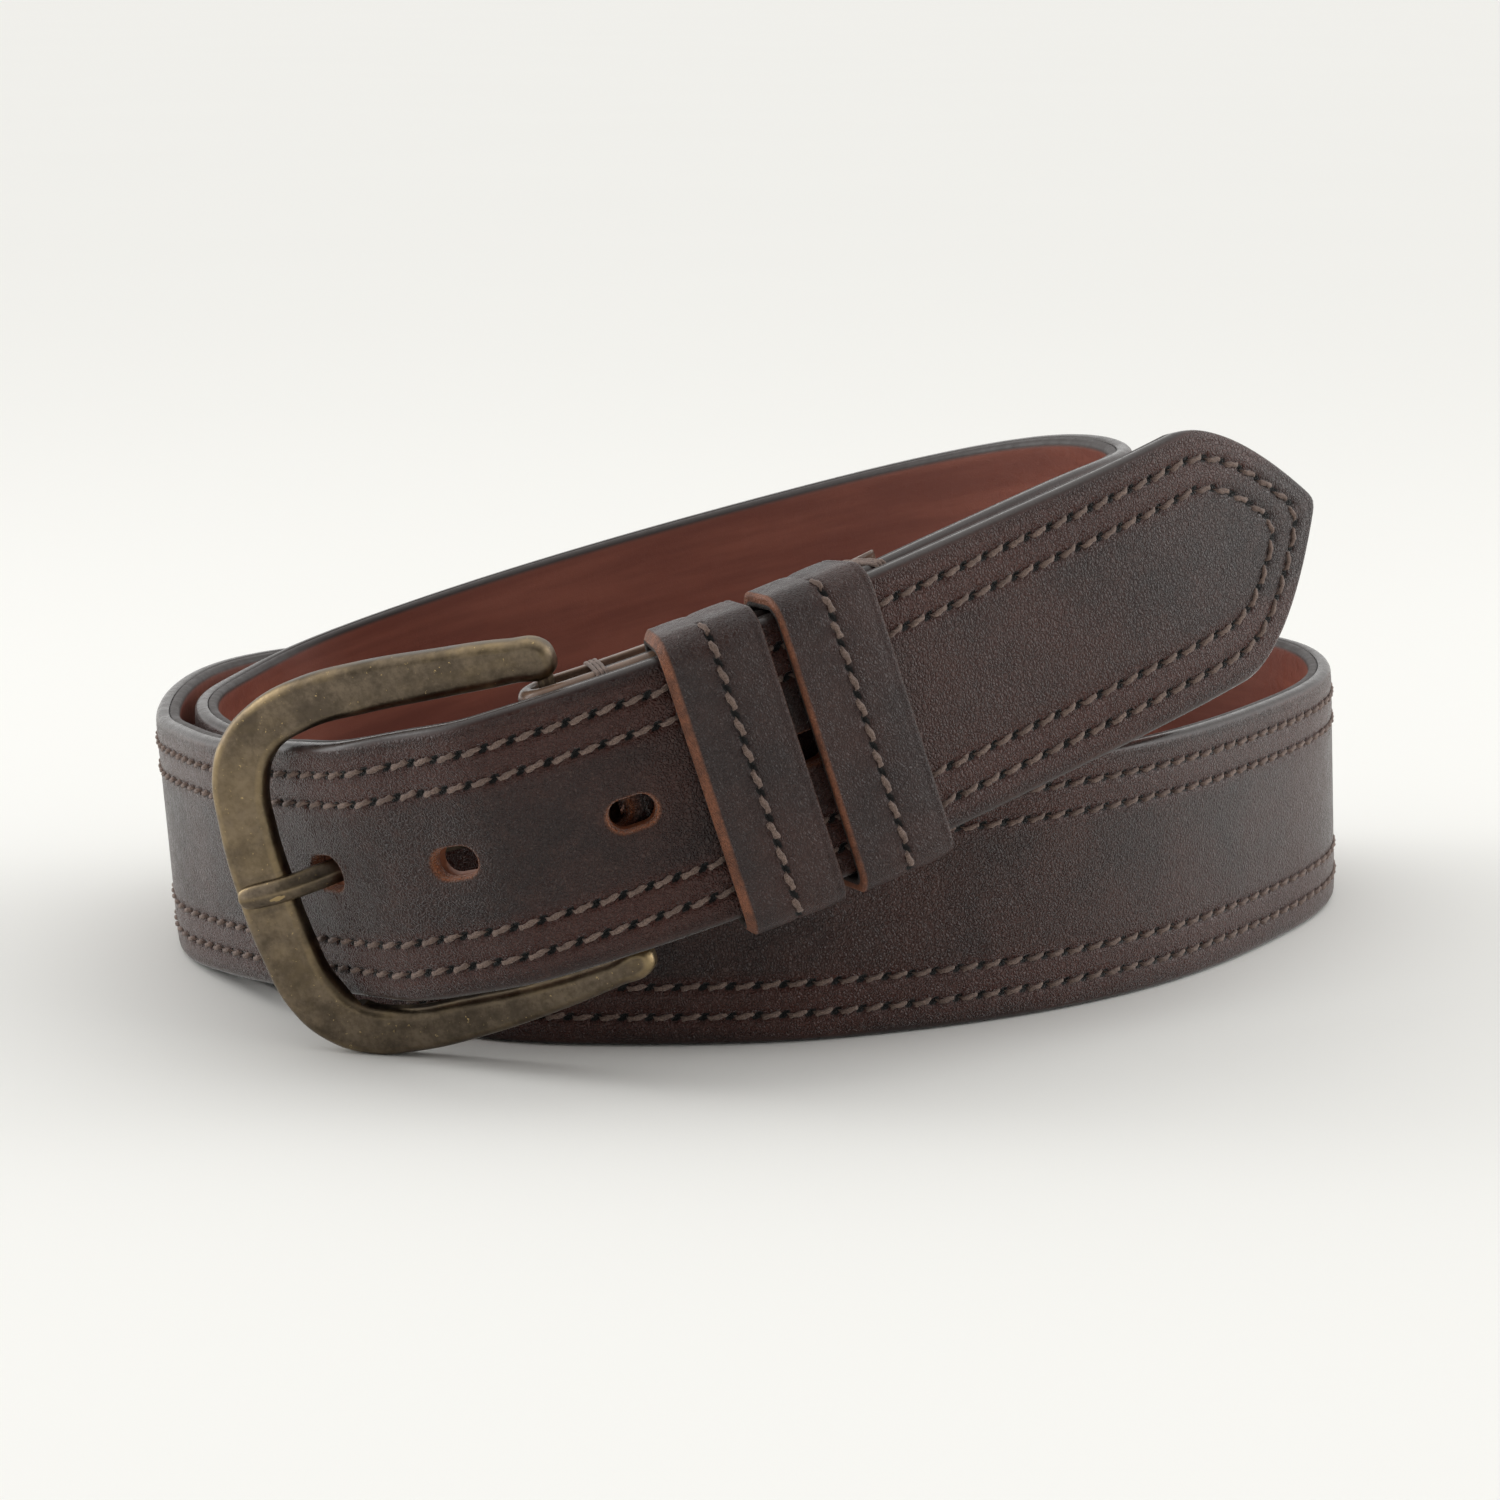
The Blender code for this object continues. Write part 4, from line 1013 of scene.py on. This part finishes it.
class Nodes:
    """A short way to build the nodes of a material or a world."""

    def __init__(self, owner, shader="Principled BSDF"):
        owner.use_nodes = True
        self.owner = owner
        self.tree = owner.node_tree
        self.shader = self.tree.nodes[shader]

    def add(self, kind, inputs=(), **settings):
        node = self.tree.nodes.new(kind)
        for key, value in settings.items():
            setattr(node, key, value)
        for key, value in dict(inputs).items():
            self.feed(node.inputs[key], value)
        return node

    def feed(self, socket, value):
        if isinstance(value, bpy.types.NodeSocket):
            self.tree.links.new(value, socket)
        else:
            socket.default_value = value

    def math(self, operation, a, b=0.0, clamp=False):
        node = self.add("ShaderNodeMath", operation=operation, use_clamp=clamp)
        for socket, value in zip(node.inputs, (a, b)):
            self.feed(socket, value)
        return node.outputs[0]

    def mix(self, share, a, b):
        node = self.add("ShaderNodeMix", data_type="RGBA")
        self.feed(node.inputs["Factor"], share)
        self.feed(node.inputs[6], colour(a))
        self.feed(node.inputs[7], colour(b))
        return node.outputs[2]

    def tinted(self, base, share, amount, tint):
        """The base with up to an amount of a tint over it, by the share."""
        return self.mix(self.math("MULTIPLY", share, amount), base, tint)

    def between(self, value, low, high, start=0.0, end=1.0):
        """The value's share of the way from low to high, smoothly, as start to end."""
        node = self.add("ShaderNodeMapRange", interpolation_type="SMOOTHSTEP")
        for socket, number in zip(node.inputs, (value, low, high, start, end)):
            self.feed(socket, number)
        return node.outputs[0]

    def noise(self, scale, vector=None, detail=3.0, roughness=0.55):
        inputs = {"Scale": scale, "Detail": detail, "Roughness": roughness}
        node = self.add("ShaderNodeTexNoise", inputs)
        self.feed(node.inputs["Vector"], vector or self.object())
        return node.outputs["Fac"]

    def object(self):
        if not hasattr(self, "coordinates"):
            self.coordinates = self.add("ShaderNodeTexCoord").outputs["Object"]
        return self.coordinates

    def attribute(self, name):
        """The x, y and z of a named attribute."""
        node = self.add("ShaderNodeAttribute", attribute_name=name)
        parts = self.add("ShaderNodeSeparateXYZ", {"Vector": node.outputs["Vector"]})
        return node.outputs["Vector"], *parts.outputs

    def stretched(self, vector, scale):
        return self.add("ShaderNodeMapping", {"Vector": vector, "Scale": scale}).outputs[0]

    def bumps(self, *layers):
        """A normal with each (height, strength, distance) layer on top of the one before."""
        normal = None
        for height, strength, distance in layers:
            inputs = {"Height": height, "Strength": strength, "Distance": distance}
            node = self.add("ShaderNodeBump", inputs)
            if normal:
                self.feed(node.inputs["Normal"], normal)
            normal = node.outputs[0]
        return normal

    def done(self, base, rough, normal=None, metal=0.0):
        """The material, with its main inputs fed."""
        self.feed(self.shader.inputs["Base Color"], base)
        self.feed(self.shader.inputs["Roughness"], rough)
        self.feed(self.shader.inputs["Metallic"], metal)
        if normal:
            self.feed(self.shader.inputs["Normal"], normal)
        return self.owner


def colour(value):
    return (*value, 1.0) if isinstance(value, tuple) else value


def grain(nodes, size=0.55):
    """The leather's grain: small raised cells with fine creases between them."""
    warp = nodes.add("ShaderNodeTexNoise", {"Scale": 900.0, "Detail": 2.0})
    nodes.feed(warp.inputs["Vector"], nodes.object())
    mixed = nodes.add("ShaderNodeMix", {"Factor": 0.0012}, data_type="VECTOR")
    nodes.feed(mixed.inputs[4], nodes.object())
    nodes.feed(mixed.inputs[5], warp.outputs["Color"])
    cells = nodes.add("ShaderNodeTexVoronoi", {"Scale": 1000.0 / size}, feature="DISTANCE_TO_EDGE")
    nodes.feed(cells.inputs["Vector"], mixed.outputs[1])
    return nodes.between(cells.outputs["Distance"], 0.0, 0.28)


# Painted shade: near black put into the stitch pits, where the holes lie in shadow.
PAINTED_PIT_SHADE = (0.0010, 0.0008, 0.0008)
# Painted highlight: light tan specks that stand in for glints on the leather's grain.
GRAIN_GLINT_TAN = (0.20, 0.14, 0.11)


def waxed_roughness(n, fine, low, high, cut, dark):
    """Smooth where the leather is waxed, and matt where it is cut or pitted."""
    rough = n.math("ADD", n.between(fine, 0.3, 0.7, low, high), n.math("MULTIPLY", cut, 0.35))
    return n.math("ADD", rough, n.math("MULTIPLY", dark, 0.3), clamp=True)


def outer_leather():
    n = Nodes(bpy.data.materials.new("dark_brown_grain_leather"))
    at, place, across, out = n.attribute("at")
    _, cut, dark, _ = n.attribute("cut_and_pit_shade")
    width = n.math("ABSOLUTE", across)
    blotch = n.between(n.noise(38.0, detail=4.0), 0.35, 0.68)
    fine = n.noise(420.0)
    speck = n.between(n.noise(2600.0, detail=1.0), 0.6, 0.72)
    base = n.mix(blotch, (0.0170, 0.0056, 0.0046), (0.0470, 0.0140, 0.0092))
    inside, outside = n.between(width, 0.0080, 0.0105), n.between(width, 0.0185, 0.0160)
    near_rows = n.math("MULTIPLY", inside, outside)
    base = n.tinted(base, near_rows, 0.6, (0.0680, 0.0190, 0.0125))
    base = n.tinted(base, n.between(fine, 0.45, 0.7), 0.25, (0.070, 0.0300, 0.0220))
    # Painted highlight: light specks as glints on the grain.
    base = n.tinted(base, speck, 0.16, GRAIN_GLINT_TAN)
    edge = n.between(width, 0.0181, 0.0188)
    base = n.mix(edge, base, (0.036, 0.0270, 0.0250))
    on_edge, on_flap = n.between(width, 0.0178, 0.0184), n.between(place, 0.086, 0.078)
    raw_edge = n.math("MULTIPLY", on_edge, on_flap)
    on_back, off_edge = n.between(out, -0.00085, -0.00105), n.between(width, 0.0187, 0.0180)
    flesh = n.math("MULTIPLY", on_back, off_edge)
    fibre = n.noise(1500.0, n.stretched(at, (0.25, 1.0, 1.0)), 4.0)
    base = n.mix(flesh, base, n.mix(fibre, (0.10, 0.055, 0.035), (0.26, 0.15, 0.10)))
    raw = n.mix(fibre, (0.20, 0.060, 0.024), (0.42, 0.170, 0.085))
    worn = n.mix(fibre, (0.060, 0.032, 0.022), (0.300, 0.190, 0.130))
    base = n.tinted(base, raw_edge, 0.9, worn)
    base = n.mix(cut, base, raw)
    # Painted shade: the stitch pits are coloured near black.
    base = n.mix(n.between(dark, 0.08, 0.30), base, PAINTED_PIT_SHADE)
    rough = waxed_roughness(n, fine, 0.29, 0.40, cut, dark)
    rough = n.math("SUBTRACT", rough, n.math("MULTIPLY", edge, 0.08), clamp=True)
    cells = n.math("MULTIPLY", grain(n), n.between(width, 0.0184, 0.0176))
    n.shader.inputs["Specular IOR Level"].default_value = 0.34
    n.shader.inputs["Coat Weight"].default_value = 0.10
    n.shader.inputs["Coat Roughness"].default_value = 0.20
    n.shader.inputs["Sheen Weight"].default_value = 0.30
    n.shader.inputs["Sheen Roughness"].default_value = 0.22
    return n.done(base, rough, n.bumps((cells, 0.9, 0.00026), (fine, 0.25, 0.0003)))


def lining_leather():
    n = Nodes(bpy.data.materials.new("red_brown_lining_leather"))
    at, _, across, _ = n.attribute("at")
    _, cut, _, _ = n.attribute("cut_and_pit_shade")
    streak = n.noise(220.0, n.stretched(at, (0.12, 1.0, 1.0)), 4.0)
    cloud = n.noise(30.0)
    base = n.mix(n.between(streak, 0.35, 0.7), (0.180, 0.0500, 0.0320), (0.275, 0.0880, 0.0560))
    base = n.tinted(base, n.between(cloud, 0.35, 0.7), 0.4, (0.145, 0.0400, 0.0260))
    edge = n.between(n.math("ABSOLUTE", across), 0.0176, 0.0183)
    base = n.mix(edge, base, (0.030, 0.0210, 0.0190))
    fibre = n.noise(1500.0, detail=4.0)
    base = n.mix(cut, base, n.mix(fibre, (0.20, 0.060, 0.024), (0.38, 0.150, 0.075)))
    fine = n.noise(700.0, detail=4.0)
    rough = n.between(fine, 0.3, 0.7, 0.42, 0.56)
    return n.done(base, rough, n.bumps((fine, 0.25, 0.0002), (grain(n, 0.4), 0.1, 0.0001)))


def keeper_leather():
    n = Nodes(bpy.data.materials.new("dark_brown_keeper_leather"))
    _, _, width, level = n.attribute("at")
    _, cut, dark, _ = n.attribute("cut_and_pit_shade")
    fine = n.noise(420.0)
    blotch = n.between(n.noise(60.0, detail=4.0), 0.35, 0.68)
    speck = n.between(n.noise(2600.0, detail=1.0), 0.62, 0.74)
    base = n.mix(blotch, (0.0180, 0.0070, 0.0062), (0.0420, 0.0150, 0.0110))
    # Painted highlight: light specks as glints on the keeper's grain.
    base = n.tinted(base, speck, 0.14, GRAIN_GLINT_TAN)
    fibre = n.noise(1700.0, detail=4.0)
    stain = n.between(n.noise(350.0, detail=4.0), 0.42, 0.62)
    tan = n.mix(fibre, (0.13, 0.042, 0.019), (0.30, 0.115, 0.058))
    tan = n.tinted(tan, stain, 0.55, (0.075, 0.030, 0.018))
    brown = n.mix(fibre, (0.085, 0.040, 0.028), (0.150, 0.085, 0.062))
    side = n.mix(n.between(width, 0.004, 0.008), tan, brown)
    grey = n.mix(fibre, (0.012, 0.0100, 0.0095), (0.085, 0.0720, 0.0650))
    raw = n.mix(n.between(level, 0.00110, 0.00135), side, grey)
    base = n.mix(cut, base, raw)
    # Painted shade: the keeper's stitch pits are coloured near black.
    base = n.mix(n.between(dark, 0.08, 0.30), base, PAINTED_PIT_SHADE)
    rough = waxed_roughness(n, fine, 0.30, 0.42, cut, dark)
    n.shader.inputs["Specular IOR Level"].default_value = 0.38
    n.shader.inputs["Coat Weight"].default_value = 0.12
    n.shader.inputs["Coat Roughness"].default_value = 0.2
    return n.done(base, rough, n.bumps((grain(n, 0.5), 0.8, 0.0002), (fine, 0.25, 0.0003)))


def thread():
    n = Nodes(bpy.data.materials.new("brown_twisted_thread"))
    fibre = n.noise(5200.0)
    cloud = n.noise(260.0, detail=2.0)
    base = n.mix(n.between(fibre, 0.3, 0.7), (0.075, 0.044, 0.033), (0.240, 0.165, 0.132))
    base = n.tinted(base, n.between(cloud, 0.4, 0.65), 0.35, (0.070, 0.042, 0.032))
    n.shader.inputs["Sheen Weight"].default_value = 0.15
    n.shader.inputs["Sheen Roughness"].default_value = 0.5
    return n.done(base, 0.72, n.bumps((fibre, 0.5, 0.0001)))


def brass():
    n = Nodes(bpy.data.materials.new("antique_brass_cast"))
    geometry = n.add("ShaderNodeNewGeometry")
    ridge = n.between(geometry.outputs["Pointiness"], 0.502, 0.55)
    cloud = n.noise(190.0, detail=6.0, roughness=0.68)
    fine = n.noise(1400.0, detail=4.0)
    speck = n.between(n.noise(1500.0, detail=2.0, roughness=0.7), 0.67, 0.75)
    rub = n.between(n.noise(70.0, detail=5.0, roughness=0.65), 0.44, 0.64)
    base = n.mix(n.between(cloud, 0.35, 0.65), (0.080, 0.063, 0.048), (0.180, 0.141, 0.102))
    base = n.tinted(base, n.between(fine, 0.4, 0.7), 0.35, (0.050, 0.041, 0.030))
    # Painted highlight: the bevelled ridges, found by pointiness, are coloured bright brass,
    # broken up by the rub noise as worn brass.
    bright = n.math("MULTIPLY", ridge, n.math("ADD", rub, 0.25), clamp=True)
    base = n.mix(bright, base, (0.42, 0.31, 0.16))
    base = n.tinted(base, speck, 0.75, (0.52, 0.38, 0.18))
    rough = n.between(cloud, 0.3, 0.7, 0.30, 0.46)
    rough = n.math("SUBTRACT", rough, n.math("MULTIPLY", speck, 0.12), clamp=True)
    return n.done(base, rough, n.bumps((fine, 0.2, 0.00015), (cloud, 0.25, 0.0004)), metal=1.0)


def floor_paint():
    n = Nodes(bpy.data.materials.new("pale_floor"))
    base = n.mix(n.noise(3.0, detail=2.0), (0.875, 0.870, 0.845), (0.885, 0.880, 0.855))
    n.shader.inputs["Specular IOR Level"].default_value = 0.0
    return n.done(base, 0.9)


# ---- stage


FLOOR_HALF = 30.0
CAMERA_LENS = 100.0
CAMERA_SENSOR = 36.0
CAMERA_PLACE = (-0.0022, -0.6302, 0.1541)
CAMERA_TILT = math.radians(79.0)
# Each area light's name, place, target, size and power, in metres and watts.
LIGHTS = (
    ("overhead", (0.0, 0.1, 0.9), (0.0, 0.0, 0.03), (0.9, 0.5), 0.35),
    ("left_panel", (-0.7, 0.12, 0.3), (-0.08, 0.0, 0.04), (0.25, 0.5), 0.7),
    ("right_panel", (0.7, 0.12, 0.3), (0.08, 0.0, 0.04), (0.25, 0.5), 0.6),
)


def area_light(name, place, target, size, power):
    data = bpy.data.lights.new(name, "AREA")
    data.shape = "RECTANGLE"
    data.size, data.size_y = size
    data.energy = power
    light = bpy.data.objects.new(name, data)
    bpy.context.scene.collection.objects.link(light)
    light.location = place
    light.rotation_euler = (Vector(target) - Vector(place)).to_track_quat("-Z", "Y").to_euler()


def studio_walls(world):
    """A pale studio: dark on the side the buckle faces, bright above and to the sides."""
    n = Nodes(world, "Background")
    place = n.add("ShaderNodeTexCoord").outputs["Generated"]
    x, y, z = n.add("ShaderNodeSeparateXYZ", {"Vector": place}).outputs
    walls = n.between(y, -0.85, 0.2, 0.12, 0.80)
    sides = n.between(n.math("ABSOLUTE", x), 0.5, 0.92, 0.0, 1.30)
    ceiling = n.between(z, 0.45, 0.95, 0.0, 0.32)
    n.shader.inputs["Color"].default_value = (1.0, 0.997, 0.982, 1.0)
    n.feed(n.shader.inputs["Strength"], n.math("ADD", n.math("ADD", walls, sides), ceiling))


def stage():
    scene = bpy.context.scene
    camera = bpy.data.objects.new("camera", bpy.data.cameras.new("camera"))
    camera.data.lens = CAMERA_LENS
    camera.data.sensor_width = CAMERA_SENSOR
    camera.data.clip_start, camera.data.clip_end = 0.02, 100.0
    camera.location = CAMERA_PLACE
    camera.rotation_euler = (CAMERA_TILT, 0.0, 0.0)
    scene.collection.objects.link(camera)
    scene.camera = camera
    bm = bmesh.new()
    bmesh.ops.create_grid(bm, x_segments=8, y_segments=8, size=FLOOR_HALF)
    floor = mesh_object("floor", bm)
    floor.data.materials.append(floor_paint())
    scene.world = bpy.data.worlds.new("studio")
    studio_walls(scene.world)
    for light in LIGHTS:
        area_light(*light)
    scene.view_settings.view_transform = "Standard"


def main():
    stage()
    leather, lining, cord = outer_leather(), lining_leather(), thread()
    loop_leather, metal = keeper_leather(), brass()
    front, back = outer_strap(leather), lining_strap(lining)
    outer_row = stitch_row("outer_row_thread", OUTER_ROW, cord)
    inner_row = stitch_row("inner_row_thread", INNER_ROW, cord)
    near_seam = fold_seam("near_seam_thread", NEAR_SEAM_AT, cord)
    far_seam = fold_seam("far_seam_thread", FAR_SEAM_AT, cord)
    pieces = [
        (front, "belt", "strap_outer", "outer_leather"),
        (back, "belt", "strap_lining", "lining_leather"),
        (outer_row, "belt", "stitching_outer_row", "thread"),
        (inner_row, "belt", "stitching_inner_row", "thread"),
        (near_seam, "belt", "fold_stitch_near", "thread"),
        (far_seam, "belt", "fold_stitch_far", "thread"),
        (buckle_frame(metal), "buckle", "buckle_frame", "antique_brass"),
        (prong(metal), "tongue", "prong", "antique_brass"),
    ]
    bodies = ("first_keeper", "second_keeper")
    for number, (body, start) in enumerate(zip(bodies, KEEPER_STARTS), 1):
        loop, seam = keeper(number, start, loop_leather), keeper_seam(number, start, cord)
        pieces.append((loop, body, f"keeper_{number}", "outer_leather"))
        pieces.append((seam, body, f"keeper_{number}_stitching", "thread"))
    for piece, body, node, slot in pieces:
        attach(piece, body)
        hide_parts(node)
    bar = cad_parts["heel_bar"]
    bar.data.materials.clear()
    bar.data.materials.append(metal)


main()
